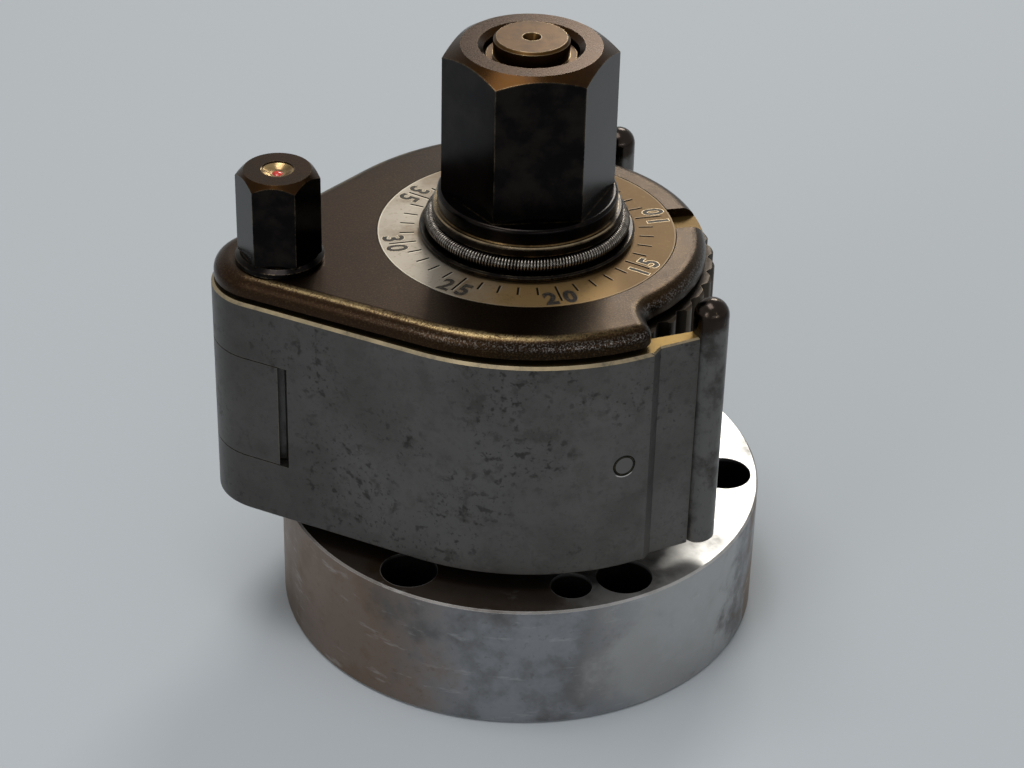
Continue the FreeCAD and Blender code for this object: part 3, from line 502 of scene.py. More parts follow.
@dataclass(frozen=True)
class BrownedCover:
    """Browned cover with a film of oil: fine granular skin, a painted golden highlight along the upper
    rim, a painted pale bluish reflection on the rim's lower flank and a golden notch floor.
    """

    name: str = "cover_brown"
    top: float = 131.4
    notch_inner: float = 44.0
    notch_y: float = -1.4
    notch_width: float = 12.0
    brown: Colour = (0.028, 0.016, 0.007)
    deep: Colour = (0.018, 0.011, 0.007)
    nose: Colour = (0.034, 0.019, 0.012)
    grain: Colour = (0.090, 0.058, 0.026)
    # Colour of the painted golden highlight on the upper rim.
    polished: Colour = (0.46, 0.35, 0.17)
    frost: Colour = (0.30, 0.31, 0.32)
    brass: Colour = (0.115, 0.072, 0.024)

    def build(self) -> bpy.types.Material:
        """Makes the material."""
        mix = Recipe(self.name)
        x, y, z = mix.axis("X"), mix.axis("Y"), mix.axis("Z")
        broad = mix.noise(30.0, 4.0, 0.6)
        cloud = mix.noise(8.0, 5.0, 0.65, 2.9)
        sand = mix.noise(0.55, 3.0, 0.7, 5.5)
        grit = mix.noise(1.6, 4.0, 0.7, 8.1)
        up = mix.facing_up()
        colour = mix.mix(mix.rise(broad, 0.38, 0.64), self.brown, self.deep)
        drift = (broad - 0.5) * 0.04
        colour = mix.mix(mix.rise(x + drift, -22.0 * MM, -62.0 * MM) * 0.8, colour, self.nose)
        colour = mix.mix(mix.rise(cloud, 0.52, 0.72) * 0.5, colour, self.deep)
        colour = mix.mix(mix.rise(sand, 0.48, 0.70) * 0.60, colour, self.grain)
        colour = mix.mix(mix.rise(grit, 0.56, 0.74) * 0.35, colour, self.deep)
        high = mix.rise(z, (self.top - 5.4) * MM, (self.top - 4.0) * MM)
        rim = mix.rise(up, 0.995, 0.93) * mix.rise(up, 0.20, 0.62) * high
        # Painted highlight: the crest and rubbed masks paint a golden line along the upper part of the
        # rim's rounding, from the nose to the middle; it is a highlight, not rubbing.
        crest = mix.rise(up, 0.997, 0.975) * mix.rise(up, 0.78, 0.90) * high
        rubbed = crest * mix.rise(cloud * 0.4 + sand * 0.6, 0.38, 0.58)
        rubbed = rubbed * mix.rise(x, -92.0 * MM, -78.0 * MM) * mix.rise(x, 40.0 * MM, -40.0 * MM)
        colour = mix.mix(rubbed * 0.32, colour, self.polished)
        # Painted reflection: a pale bluish sparkle on the lower flank of the rim, from the nose to the
        # middle.
        flank = mix.rise(up, 0.80, 0.60) * mix.rise(up, 0.10, 0.35) * high
        pale_reflection_band = flank * mix.rise(sand, 0.50, 0.62) * mix.rise(x, -70.0 * MM, 10.0 * MM)
        colour = mix.mix(pale_reflection_band * 0.40, colour, self.frost)
        edge = self.notch_width / 2.0 + 0.1
        beside = mix.size(y - self.notch_y * MM)
        slot = mix.rise(beside, edge * MM, (edge - 0.2) * MM) * mix.rise(
            x, (self.notch_inner - 0.3) * MM, self.notch_inner * MM
        )
        low = mix.rise(z, (self.top - 2.4) * MM, (self.top - 2.8) * MM)
        floor = slot * low * mix.rise(up, 0.6, 0.9)
        colour = mix.mix(floor * (0.75 + cloud * 0.3), colour, self.brass)
        rough = 0.23 + cloud * 0.10 + grit * 0.08 - rim * 0.04 + floor * 0.15
        normal = mix.bump(sand * 0.5 + grit * 0.6 + cloud * 0.4, 0.030)
        return mix.surface(colour, rough, 1.0, normal)


@dataclass(frozen=True)
class SatinDial:
    """Satin plated dial: silvery on one side, with a painted warm reflection, golden on the other side
    and amber at the front, dirt in its marks, burrs beside them, and a painted highlight on those burrs
    and the rim, stronger on the silvery side.
    """

    radius: float = 45.7
    top: float = 131.4
    marks: int = 40
    turn: float = 1.2
    mark_inner: float = 34.6
    mark_outer: float = 39.0
    long_extra: float = 4.0
    mark_half: float = 0.30
    silver: Colour = (0.36, 0.325, 0.275)
    gold: Colour = (0.100, 0.061, 0.026)
    honey: Colour = (0.380, 0.250, 0.110)
    tarnish: Colour = (0.15, 0.10, 0.05)
    dirt: Colour = (0.012, 0.010, 0.008)
    bright: Colour = (0.70, 0.64, 0.52)

    def build(self) -> bpy.types.Material:
        """Makes the material."""
        mix = Recipe("dial_steel")
        x, z, r = mix.axis("X"), mix.axis("Z"), mix.radius()
        rings = mix.lines(r, 0.28)
        cloud = mix.noise(14.0, 5.0, 0.6)
        fine = mix.noise(1.1, 4.0, 0.6, 3.3)
        # Painted reflection: the plate is silvery on the left, and a warm golden reflection is painted
        # on the right and, lighter and amber, at the front.
        side = mix.rise(x + (cloud - 0.5) * 0.03, -10.0 * MM, -38.0 * MM)
        front = mix.rise(mix.axis("Y") + (cloud - 0.5) * 0.02, -12.0 * MM, -34.0 * MM)
        front = front * mix.rise(x, 24.0 * MM, 4.0 * MM)
        colour = mix.mix(side, mix.mix(front, self.gold, self.honey), self.silver)
        colour = mix.mix(mix.rise(cloud, 0.46, 0.72) * 0.5, colour, self.tarnish)
        colour = mix.mix(mix.rise(fine, 0.56, 0.74) * 0.5, colour, self.tarnish)
        # Painted highlight: the rim is brightened a little all round and more on the silvery side.
        rim = mix.rise(r, (self.radius - 0.6) * MM, (self.radius - 0.2) * MM)
        colour = mix.mix(rim * (0.10 + side * 0.3), colour, self.bright)
        angle = mix.maths(Op.ARCTAN2, mix.axis("Y"), x)
        count = angle * (self.marks / (2.0 * math.pi)) - self.turn * self.marks / 360.0
        off = (count - mix.maths(Op.ROUND, count)) * r * (2.0 * math.pi / self.marks)
        fifth = count * 0.2
        long_one = mix.rise(mix.size(fifth - mix.maths(Op.ROUND, fifth)), 0.08, 0.05)
        reach = r - long_one * (self.long_extra * MM)
        span = mix.rise(r, (self.mark_inner - 0.1) * MM, (self.mark_inner + 0.1) * MM) * mix.rise(
            reach, (self.mark_outer + 0.1) * MM, (self.mark_outer - 0.1) * MM
        )
        half = self.mark_half
        line = mix.rise(mix.size(off), (half + 0.10) * MM, (half - 0.04) * MM) * span
        # The pale line beside each mark is partly the raised metal's own brightness and partly a painted
        # highlight, stronger on the silvery side.
        beside = mix.rise(off, half * MM, (half + 0.12) * MM) * mix.rise(
            off, (half + 0.45) * MM, (half + 0.28) * MM
        )
        face = mix.rise(z, (self.top - 0.4) * MM, (self.top - 0.3) * MM)
        colour = mix.mix(beside * span * face * (0.15 + side * 0.65), colour, self.bright)
        colour = mix.mix(line * face, colour, self.dirt)
        rough = 0.40 + cloud * 0.12 + rings * 0.08 + line * 0.2
        normal = mix.bump(rings * 0.7 + fine * 0.6, 0.010)
        return mix.surface(colour, rough, 1.0, normal)


@dataclass(frozen=True)
class StampedMark:
    """What shows of the dial's stamped numbers: dirt in the strokes, or the raised burrs beside them,
    whose bright tone is a painted highlight that fades towards the golden side.
    """

    name: str
    tone: Colour
    fleck: Colour
    shine: float
    fade: float = 0.0

    def build(self) -> bpy.types.Material:
        """Makes the material."""
        mix = Recipe(self.name)
        fine = mix.noise(0.7, 3.0, 0.6)
        golden = mix.rise(mix.axis("X"), -38.0 * MM, -10.0 * MM)
        colour = mix.mix(mix.rise(fine, 0.45, 0.68), self.tone, self.fleck)
        # Painted highlight: the tone gives way to the fleck colour on the golden side, as far as fade
        # says.
        colour = mix.mix(golden * self.fade, colour, self.fleck)
        normal = mix.bump(fine, 0.02)
        return mix.surface(colour, 0.62 - self.shine * 0.35 + fine * 0.1, self.shine, normal)


@dataclass(frozen=True)
class BlackOxide:
    """Glossy black oxide, rubbed through to brown metal on the top and the corners, with a painted
    reflection round the side between two given heights.
    """

    name: str
    top: float
    cap: float
    corner: float = 0.9
    black: Colour = (0.0075, 0.0065, 0.0065)
    smoky: Colour = (0.017, 0.014, 0.012)
    rubbed: Colour = (0.038, 0.017, 0.005)
    bare: Colour = (0.46, 0.36, 0.22)
    band: Tuple[float, float] = (0.0, 0.0)

    def build(self) -> bpy.types.Material:
        """Makes the material."""
        mix = Recipe(self.name)
        z = mix.axis("Z")
        cloud = mix.noise(9.0, 5.0, 0.62)
        fine = mix.noise(1.2, 4.0, 0.6, 2.2)
        up = mix.rise(mix.facing_up(), 0.12, 0.42)
        high = mix.rise(z, (self.top - self.cap) * MM, (self.top - self.cap + 0.6) * MM)
        crown = up * high
        rim = mix.edges(self.corner, 0.03, 0.34)
        colour = mix.mix(mix.rise(cloud, 0.40, 0.66), self.black, self.smoky)
        colour = mix.mix(crown * (0.70 + fine * 0.5), colour, self.rubbed)
        colour = mix.mix(crown * mix.rise(cloud, 0.60, 0.38) * 0.30, colour, self.smoky)
        scrape = rim * mix.rise(cloud * 0.6 + fine * 0.4, 0.40, 0.60)
        colour = mix.mix(scrape * (0.34 - crown * 0.12), colour, self.bare)
        # Painted reflection: a pale, patchy ring round the nut's step, in the bare colour.
        if self.band[1] > self.band[0]:
            reflection_girdle = mix.rise(z, self.band[0] * MM, (self.band[0] + 0.3) * MM) * mix.rise(
                z, (self.band[1] + 0.3) * MM, self.band[1] * MM
            )
            reflection_streak = mix.rise(mix.noise(16.0, 3.0, 0.5, 5.2), 0.44, 0.60)
            colour = mix.mix(reflection_girdle * reflection_streak * (0.35 + fine * 0.5), colour, self.bare)
        rough = 0.16 + cloud * 0.08 + crown * 0.04 + fine * crown * 0.06
        normal = mix.bump(fine * 0.5 + cloud * 0.8, 0.014)
        return mix.surface(colour, rough, 1.0, normal)


@dataclass(frozen=True)
class WornStud:
    """The stud's end: brassy worn steel with the lathe's rings and polished corners."""

    steel: Colour = (0.074, 0.038, 0.012)
    brown: Colour = (0.050, 0.025, 0.008)
    bright: Colour = (0.60, 0.48, 0.30)

    def build(self) -> bpy.types.Material:
        """Makes the material."""
        mix = Recipe("stud_steel")
        r = mix.radius()
        rings = mix.lines(r, 0.4)
        cloud = mix.noise(5.0, 5.0, 0.62)
        fine = mix.noise(0.8, 3.0, 0.6, 1.4)
        colour = mix.mix(mix.rise(cloud, 0.42, 0.66), self.steel, self.brown)
        colour = mix.mix(mix.rise(fine, 0.56, 0.72) * 0.5, colour, self.brown)
        rim = mix.edges(0.7, 0.05, 0.4)
        colour = mix.mix(rim, colour, self.bright)
        rough = 0.24 + cloud * 0.10 + rings * 0.08 - rim * 0.06
        return mix.surface(colour, rough, 1.0, mix.bump(rings + fine * 0.5, 0.015))


@dataclass(frozen=True)
class ToothedCore:
    """Dark hardened core: painted shade in the roots between the teeth, and slightly brighter tooth
    crests and ends.
    """

    tip_radius: float = 58.1
    root: Colour = (0.018, 0.013, 0.009)
    flank: Colour = (0.052, 0.041, 0.031)
    crest: Colour = (0.090, 0.070, 0.050)

    def build(self) -> bpy.types.Material:
        """Makes the material."""
        mix = Recipe("core_steel")
        r = mix.radius()
        cloud = mix.noise(6.0, 5.0, 0.6)
        fine = mix.noise(1.0, 3.0, 0.6, 2.0, (1.0, 1.0, 0.3))
        # Painted shade: darker towards the roots between the teeth.
        colour = mix.mix(
            mix.rise(r, (self.tip_radius - 2.1) * MM, (self.tip_radius - 0.9) * MM),
            self.root,
            self.flank,
        )
        tip = mix.rise(r, (self.tip_radius - 0.6) * MM, (self.tip_radius - 0.1) * MM)
        colour = mix.mix(tip * mix.rise(cloud, 0.32, 0.60), colour, self.crest)
        colour = mix.mix(mix.edges(0.6, 0.08, 0.4) * 0.8, colour, self.crest)
        rough = 0.30 + cloud * 0.20 + fine * 0.08
        return mix.surface(colour, rough, 1.0, mix.bump(fine + cloud * 0.5, 0.012))


@dataclass(frozen=True)
class WornMetal:
    """A plain metal with clouds, fine grain and worn corners, for pins, bars, bushes and springs."""

    name: str
    tone: Colour
    dull: Colour
    worn: Colour
    roughness: float = 0.3
    blotch: float = 5.0
    corner: float = 0.5
    depth: float = 0.01

    def build(self) -> bpy.types.Material:
        """Makes the material."""
        mix = Recipe(self.name)
        cloud = mix.noise(self.blotch, 5.0, 0.62)
        fine = mix.noise(self.blotch / 5.0, 4.0, 0.6, 3.7)
        colour = mix.mix(mix.rise(cloud, 0.40, 0.66), self.tone, self.dull)
        colour = mix.mix(mix.rise(fine, 0.56, 0.72) * 0.5, colour, self.dull)
        rim = mix.edges(self.corner, 0.05, 0.4)
        colour = mix.mix(rim * mix.rise(fine, 0.30, 0.55), colour, self.worn)
        rough = self.roughness + (cloud - 0.5) * 0.2 + (fine - 0.5) * 0.12 - rim * 0.05
        normal = mix.bump(fine + cloud * 0.5, self.depth)
        return mix.surface(colour, rough, 1.0, normal)


@dataclass(frozen=True)
class ClampBarSteel:
    """The clamp bars: ground grey shafts with dark oily domes and rubbed spots."""

    dome_foot: float = 124.0
    grey: Colour = (0.140, 0.135, 0.128)
    dull: Colour = (0.062, 0.057, 0.053)
    oily: Colour = (0.027, 0.019, 0.015)
    spot: Colour = (0.30, 0.24, 0.17)

    def build(self) -> bpy.types.Material:
        """Makes the material."""
        mix = Recipe("bar_grey")
        z = mix.axis("Z")
        cloud = mix.noise(8.0, 5.0, 0.62)
        grain = mix.noise(1.4, 4.0, 0.6, 3.7, (1.0, 1.0, 0.35))
        colour = mix.mix(mix.rise(cloud, 0.40, 0.66), self.grey, self.dull)
        colour = mix.mix(mix.rise(grain, 0.54, 0.72) * 0.5, colour, self.dull)
        dome = mix.rise(z + (cloud - 0.5) * 0.006, self.dome_foot * MM, (self.dome_foot + 3.0) * MM)
        colour = mix.mix(dome * 0.9, colour, self.oily)
        rubbed = dome * mix.rise(grain, 0.60, 0.70)
        colour = mix.mix(rubbed * 0.5, colour, self.spot)
        rough = 0.34 + (cloud - 0.5) * 0.16 - dome * 0.14
        return mix.surface(colour, rough, 1.0, mix.bump(grain + cloud * 0.5, 0.012))


@dataclass(frozen=True)
class GlossyRed:
    """The oiler's red ball."""

    red: Colour = (0.62, 0.030, 0.016)
    deep: Colour = (0.34, 0.010, 0.008)

    def build(self) -> bpy.types.Material:
        """Makes the material."""
        mix = Recipe("oiler_red")
        cloud = mix.noise(1.6, 3.0, 0.5)
        colour = mix.mix(mix.rise(cloud, 0.40, 0.66), self.red, self.deep)
        return mix.surface(colour, 0.16 + cloud * 0.1, 0.0, mix.bump(cloud, 0.004), coat=0.25)


class Finishes:
    """Makes each finish once and hands it out by name."""

    def __init__(self) -> None:
        """Lists the finishes of the tool post."""
        bright = ((0.52, 0.51, 0.49), (0.24, 0.22, 0.20), (0.78, 0.77, 0.75))
        wire = ((0.24, 0.22, 0.195), (0.10, 0.088, 0.075), (0.50, 0.47, 0.42))
        bronze = ((0.52, 0.34, 0.15), (0.26, 0.16, 0.08), (0.78, 0.58, 0.30))
        brass = ((0.40, 0.29, 0.14), (0.20, 0.13, 0.06), (0.74, 0.62, 0.42))
        self.plans: Dict[str, object] = {
            "base_steel": TurnedBaseSteel(),
            "jaw_grey": MottledJawSteel(),
            "cover_brown": BrownedCover(),
            "dial_steel": SatinDial(),
            "mark_dirt": StampedMark("mark_dirt", (0.010, 0.008, 0.006), (0.06, 0.045, 0.03), 0.3),
            "mark_burr_highlight": StampedMark("mark_burr_highlight", (0.52, 0.45, 0.33), (0.20, 0.15, 0.085), 1.0, 0.85),
            "nut_black": BlackOxide("nut_black", 194.0, 5.4, 0.9, band=(140.9, 141.5)),
            "hex_black": BlackOxide("hex_black", 161.5, 4.4, 0.7),
            "stud_steel": WornStud(),
            "core_steel": ToothedCore(),
            "bar_grey": ClampBarSteel(),
            "pin_steel": WornMetal("pin_steel", *bright, 0.26, 3.0),
            "spring_steel": WornMetal("spring_steel", *wire, 0.24, 2.5, depth=0.003),
            "bronze": WornMetal("bronze", *bronze, 0.32, 5.0),
            "oiler_brass": WornMetal("oiler_brass", *brass, 0.22, 3.0, corner=0.3),
            "oiler_red": GlossyRed(),
        }
        self._made: Dict[str, bpy.types.Material] = {}

    def get(self, name: str) -> bpy.types.Material:
        """The finish of that name, made at its first use."""
        if name not in self._made:
            self._made[name] = self.plans[name].build()
        return self._made[name]


# --------------------------------------------------------------------------- sub-assemblies


def dress(node: str, material: bpy.types.Material) -> None:
    """Gives a CAD node its finish.

    Args:
        node: The node's name.
        material: The finish.
    """
    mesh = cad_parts[node].data
    mesh.materials.clear()
    mesh.materials.append(material)
    LOG.info("dressed %s in %s", node, material.name)


def piece(
    name: str, bm: bmesh.types.BMesh, material: bpy.types.Material, body: Body
) -> bpy.types.Object:
    """Turns a bmesh into a finished piece that rides on a body.

    Args:
        name: The piece's name.
        bm: Its shape in metres, in the frame of the part. It is freed.
        material: Its finish.
        body: The body that it rides on.

    Returns:
        The new object.
    """
    mesh = bpy.data.meshes.new(name)
    bm.to_mesh(mesh)
    bm.free()
    mesh.materials.append(material)
    made = bpy.data.objects.new(name, mesh)
    bpy.context.scene.collection.objects.link(made)
    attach(made, body.value)
    LOG.info("made %s with %d faces", name, len(mesh.polygons))
    return made


@dataclass
class Dial:
    """The dial's stamped numbers, each pair astride its long mark with its feet outward."""

    finishes: Finishes
    top: float = 131.4
    foot_radius: float = 44.2
    digit_height: float = 6.2
    digit_pitch: float = 5.9
    proud: float = 0.02
    stroke: float = 0.030
    burr: float = 0.058
    numbers: Tuple[int, ...] = (5, 10, 15, 20, 25, 30, 35, 40)
    degrees_per_number: float = 9.0
    turn: float = 1.2
    slimness: float = 0.86
    flatness: float = 0.3
    extrude: float = 0.004
    merge: float = 1e-5

    def _glyph(self, digit: str, swell: float) -> bmesh.types.BMesh:
        """One digit, a unit high, standing on the origin and centred.

        Args:
            digit: The digit.
            swell: How much its strokes are widened.

        Returns:
            The digit's shape.
        """
        curve = bpy.data.curves.new("digit", "FONT")
        curve.body = digit
        curve.resolution_u = 4
        curve.offset = swell
        curve.extrude = self.extrude
        holder = bpy.data.objects.new("digit", curve)
        bpy.context.scene.collection.objects.link(holder)
        bpy.context.view_layer.update()
        mesh = bpy.data.meshes.new_from_object(holder)
        bm = bmesh.new()
        bm.from_mesh(mesh)
        bpy.data.objects.remove(holder)
        bpy.data.curves.remove(curve)
        bpy.data.meshes.remove(mesh)
        bmesh.ops.remove_doubles(bm, verts=bm.verts, dist=self.merge)
        xs = [v.co.x for v in bm.verts]
        ys = [v.co.y for v in bm.verts]
        tall = max(ys) - min(ys) - 2.0 * swell
        shift = Vector((-(min(xs) + max(xs)) / 2.0, -min(ys) - swell, 0.0))
        bmesh.ops.translate(bm, verts=bm.verts, vec=shift)
        bmesh.ops.scale(bm, verts=bm.verts, vec=(1.0 / tall,) * 3)
        return bm

    def _stamp(self, swell: float, lift: float) -> bmesh.types.BMesh:
        """Every digit of the dial in one mesh.

        Args:
            swell: How much the strokes are widened.
            lift: How far the digits stand above the dial, in millimetres.

        Returns:
            The digits' shape.
        """
        whole = bmesh.new()
        size = self.digit_height * MM
        shrink = Matrix.Diagonal((size * self.slimness, size, size * self.flatness, 1.0))
        for number in self.numbers:
            text = str(number)
            angle = math.radians(90.0 + self.turn - self.degrees_per_number * number)
            inward = Vector((-math.cos(angle), -math.sin(angle), 0.0))
            right = Vector((inward.y, -inward.x, 0.0))
            for index, digit in enumerate(text):
                side = 1.0 if len(text) == 1 else index * 2.0 - 1.0
                bm = self._glyph(digit, swell)
                place = right * (side * self.digit_pitch / 2.0) - inward * self.foot_radius
                place = place * MM + Vector((0.0, 0.0, (self.top + lift) * MM))
                turn = Matrix((right, inward, Vector((0.0, 0.0, 1.0)))).transposed().to_4x4()
                move = Matrix.Translation(place) @ turn @ shrink
                bmesh.ops.transform(bm, matrix=move, verts=bm.verts)
                part = bpy.data.meshes.new("digit")
                bm.to_mesh(part)
                bm.free()
                whole.from_mesh(part)
                bpy.data.meshes.remove(part)
        bmesh.ops.recalc_face_normals(whole, faces=whole.faces)
        return whole

    def build(self) -> None:
        """Makes the dirt-filled strokes and the raised burrs round them."""
        strokes = self._stamp(self.stroke, self.proud)
        piece("dial_numbers", strokes, self.finishes.get("mark_dirt"), Body.POST)
        # These raised pieces carry a painted highlight on the silvery side of the dial.
        burrs = self._stamp(self.burr, self.proud / 2.0)
        piece("dial_number_burrs", burrs, self.finishes.get("mark_burr_highlight"), Body.POST)


@dataclass
class Post:
    """The base, the stud, the splined core and the dial on it."""

    finishes: Finishes
    nodes: Dict[str, str] = field(
        default_factory=lambda: {
            "base_disk": "base_steel",
            "centre_stud": "stud_steel",
            "stud_pin": "pin_steel",
            "core_dowels": "pin_steel",
            "splined_core": "core_steel",
            "dial_pins": "pin_steel",
            "dial_ring": "dial_steel",
        }
    )

    def build(self) -> None:
        """Dresses the post's nodes and stamps its dial."""
        for node, finish in self.nodes.items():
            dress(node, self.finishes.get(finish))
        Dial(self.finishes).build()


@dataclass
class Head:
    """The cover, the lower plate and their bushes."""

    finishes: Finishes

    def build(self) -> None:
        """Dresses the head's nodes."""
        for node in ("cover_plate", "lower_plate"):
            dress(node, self.finishes.get("cover_brown"))
        for node in ("cover_bush", "lower_bush"):
            dress(node, self.finishes.get("bronze"))


@dataclass
class Eccentric:
    """The spindle with its hex, and the oiler in it."""

    finishes: Finishes
    nodes: Dict[str, str] = field(
        default_factory=lambda: {
            "eccentric_spindle": "hex_black",
            "spindle_circlip": "spring_steel",
            "oiler_cup": "oiler_brass",
            "oiler_ball": "oiler_red",
            "oiler_spring": "spring_steel",
            "hinge_bush": "bronze",
        }
    )

    def build(self) -> None:
        """Dresses the spindle's nodes and the sleeve on its lobe."""
        for node, finish in self.nodes.items():
            dress(node, self.finishes.get(finish))


@dataclass
class Arm:
    """One jaw with its clamp bar and its index plunger."""

    finishes: Finishes
    side: str

    def build(self) -> None:
        """Dresses the arm's nodes."""
        looks = {
            "jaw": "jaw_grey",
            "clamp_bar": "bar_grey",
            "bar_pins": "pin_steel",
            "index_plug": "jaw_grey",
            "index_ball": "pin_steel",
            "index_spring": "spring_steel",
        }
        for node, finish in looks.items():
            dress(f"{self.side}_{node}", self.finishes.get(finish))


@dataclass
class ClampNut:
    """The nut, its washer and the garter spring, wound as a real coil."""

    finishes: Finishes
    coil_radius: float = 2.2
    ring_radius: float = 29.35
    ring_height: float = 136.05
    wire_radius: float = 0.35
    turns: int = 197
    steps_per_turn: int = 12
    sides: int = 5
    merge: float = 0.02

    def _coil(self) -> bmesh.types.BMesh:
        """The garter spring: a straight coil spun from one ring of the wire, then bent end to end."""
        bm = bmesh.new()
        length = 2.0 * math.pi * self.ring_radius
        wire = bmesh.ops.create_circle(bm, cap_ends=False, segments=self.sides, radius=self.wire_radius)
        verts = wire["verts"]
        bmesh.ops.translate(bm, verts=verts, vec=(self.coil_radius - self.wire_radius, 0.0, 0.0))
        steps = self.turns * self.steps_per_turn
        bmesh.ops.rotate(bm, verts=verts, cent=(0, 0, 0), matrix=Matrix.Rotation(math.pi / 2.0, 3, "X"))
        bmesh.ops.spin(
            bm,
            geom=list(bm.verts) + list(bm.edges),
            cent=(0.0, 0.0, 0.0),
            axis=(0.0, 0.0, 1.0),
            dvec=(0.0, 0.0, length / steps),
            angle=2.0 * math.pi * self.turns,
            steps=steps,
            use_merge=False,
            use_duplicate=False,
        )
        for vert in bm.verts:
            turn = vert.co.z / self.ring_radius
            out = self.ring_radius + vert.co.x
            vert.co = Vector(
                (out * math.cos(turn), out * math.sin(turn), self.ring_height + vert.co.y)
            ) * MM
        bmesh.ops.remove_doubles(bm, verts=bm.verts, dist=self.merge * MM)
        bmesh.ops.recalc_face_normals(bm, faces=bm.faces)
        for face in bm.faces:
            face.smooth = True
        return bm

    def build(self) -> None:
        """Dresses the nut and its washer and winds the spring."""
        dress("clamp_nut", self.finishes.get("nut_black"))
        dress("nut_washer", self.finishes.get("nut_black"))
        spring = piece(
            "garter_coil", self._coil(), self.finishes.get("spring_steel"), Body.NUT_SEAT
        )
        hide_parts("garter_spring")


# --------------------------------------------------------------------------- the studio


@dataclass
class PhotoCamera:
    """The camera, where the photograph was taken from."""

    focal_px: float = 2690.85
    width_px: int = 1024
    sensor: float = 36.0
    elevation: float = 0.5733679837908711
    roll: float = 0.0249147505754521
    distance: float = 10.98835
    aim_height: float = 1.2
    right_shift: float = -0.0479372
    up_shift: float = -0.188889
    unit: float = 77.0
    part_turn: float = 13.3

    def build(self) -> None:
        """Makes the camera and hands it to the scene."""
        right = Vector((1.0, 0.0, 0.0))
        up = Vector((0.0, math.sin(self.elevation), math.cos(self.elevation)))
        ahead = Vector((0.0, math.cos(self.elevation), -math.sin(self.elevation)))
        rolled_right = right * math.cos(self.roll) + up * math.sin(self.roll)
        rolled_up = up * math.cos(self.roll) - right * math.sin(self.roll)
        eye = Vector((0.0, 0.0, self.aim_height)) - ahead * self.distance
        eye += rolled_right * self.right_shift + rolled_up * self.up_shift
        turn = Matrix.Rotation(-math.radians(self.part_turn), 3, "Z")
        axes = Matrix((turn @ rolled_right, turn @ rolled_up, turn @ -ahead)).transposed()
        data = bpy.data.cameras.new("camera")
        data.sensor_width = self.sensor
        data.sensor_fit = "HORIZONTAL"
        data.lens = self.focal_px / self.width_px * self.sensor
        data.clip_start, data.clip_end = 0.05, 50.0
        camera = bpy.data.objects.new("camera", data)
        camera.matrix_world = Matrix.Translation(turn @ eye * self.unit * MM) @ axes.to_4x4()
        bpy.context.scene.collection.objects.link(camera)
        bpy.context.scene.camera = camera


@dataclass
class Lamp:
    """One soft rectangular lamp aimed at a point of the part."""

    name: str
    place: Tuple[float, float, float]
    size: Tuple[float, float]
    watts: float
    tint: Colour = (1.0, 1.0, 1.0)
    target: Tuple[float, float, float] = (0.0, 0.0, 0.09)

    def build(self) -> None:
        """Makes the lamp."""
        data = bpy.data.lights.new(self.name, "AREA")
        data.shape = "RECTANGLE"
        data.size, data.size_y = self.size
        data.energy = self.watts
        data.color = self.tint
        lamp = bpy.data.objects.new(self.name, data)
        lamp.location = self.place
        aim = Vector(self.target) - Vector(self.place)
        lamp.rotation_euler = aim.to_track_quat("-Z", "Y").to_euler()
        bpy.context.scene.collection.objects.link(lamp)


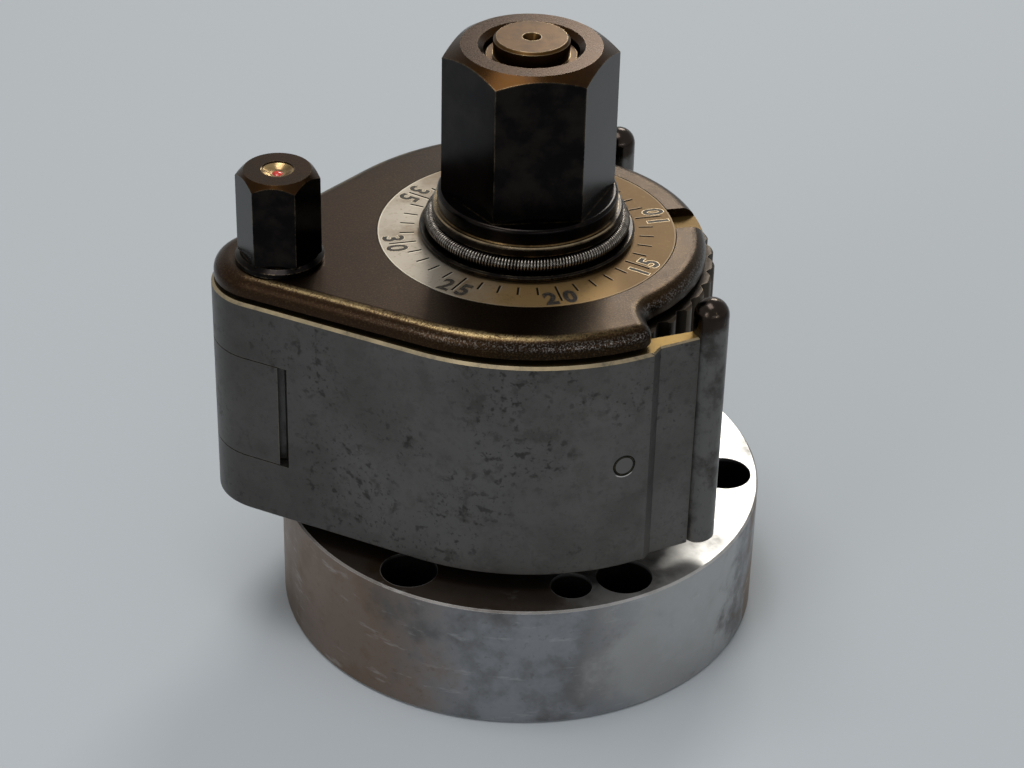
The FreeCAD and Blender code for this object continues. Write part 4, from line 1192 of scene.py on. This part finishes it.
@dataclass
class Studio:
    """The pale floor, the world and the lamps."""

    floor_tone: Colour = (0.458, 0.495, 0.528)
    sky_tone: Colour = (1.0, 0.985, 0.96)
    fill: float = 0.40
    shown: float = 0.50
    half_floor: float = 6.0
    floor_gap: float = 0.0002
    floor_cloud: float = 900.0
    floor_shade: float = 0.93

    def _floor(self) -> None:
        """A wide plain floor under the part."""
        bm = bmesh.new()
        bmesh.ops.create_grid(bm, x_segments=1, y_segments=1, size=self.half_floor)
        bmesh.ops.translate(bm, verts=bm.verts, vec=(0.0, 0.0, -self.floor_gap))
        mesh = bpy.data.meshes.new("floor")
        bm.to_mesh(mesh)
        bm.free()
        mix = Recipe("floor")
        cloud = mix.noise(self.floor_cloud, 2.0, 0.5)
        shaded = tuple(self.floor_shade * part for part in self.floor_tone)
        tone = mix.mix(cloud * 0.4, self.floor_tone, shaded)
        mesh.materials.append(mix.surface(tone, 0.85, 0.0, specular=0.2))
        floor = bpy.data.objects.new("floor", mesh)
        bpy.context.scene.collection.objects.link(floor)

    def _world(self) -> None:
        """A pale surround: shown to the camera and to reflections, weaker as light."""
        world = bpy.data.worlds.new("studio")
        world.use_nodes = True
        bpy.context.scene.world = world
        tree = world.node_tree
        tree.nodes.clear()
        path = tree.nodes.new("ShaderNodeLightPath")
        seen = None
        for ray in ("Is Camera Ray", "Is Glossy Ray", "Is Transmission Ray"):
            if seen is None:
                seen = path.outputs[ray]
                continue
            both = tree.nodes.new("ShaderNodeMath")
            both.operation = "MAXIMUM"
            tree.links.new(seen, both.inputs[0])
            tree.links.new(path.outputs[ray], both.inputs[1])
            seen = both.outputs[0]
        backs = []
        for strength in (self.fill, self.shown):
            back = tree.nodes.new("ShaderNodeBackground")
            back.inputs["Color"].default_value = (*self.sky_tone, 1.0)
            back.inputs["Strength"].default_value = strength
            backs.append(back)
        blend = tree.nodes.new("ShaderNodeMixShader")
        tree.links.new(seen, blend.inputs[0])
        tree.links.new(backs[0].outputs[0], blend.inputs[1])
        tree.links.new(backs[1].outputs[0], blend.inputs[2])
        output = tree.nodes.new("ShaderNodeOutputWorld")
        tree.links.new(blend.outputs[0], output.inputs["Surface"])

    def build(self) -> None:
        """Makes the floor, the world and the lamps."""
        self._floor()
        self._world()
        Lamp("overhead", (-0.25, -0.05, 1.45), (0.9, 0.55), 8.5).build()
        Lamp("back_right", (0.60, 1.20, 1.00), (0.55, 0.40), 8.0, (1.0, 0.96, 0.88)).build()
        Lamp("front_left", (-1.10, -0.90, 0.70), (0.50, 0.70), 3.0, (0.94, 0.97, 1.0)).build()
        Lamp("front_low", (0.30, -1.50, 0.50), (1.20, 0.10), 2.0, (0.90, 0.95, 1.0)).build()
        bpy.context.scene.view_settings.view_transform = "Standard"


# --------------------------------------------------------------------------- the whole


def main() -> None:
    """Builds the camera, the studio and each sub-assembly in turn."""
    logging.basicConfig(level=logging.INFO, format="%(name)s: %(message)s")
    finishes = Finishes()
    PhotoCamera().build()
    Studio().build()
    assemblies = [
        Post(finishes),
        Head(finishes),
        Eccentric(finishes),
        Arm(finishes, "front"),
        Arm(finishes, "rear"),
        ClampNut(finishes),
    ]
    for assembly in assemblies:
        assembly.build()
        LOG.info("built %s", type(assembly).__name__)


if __name__ == "__main__":
    main()
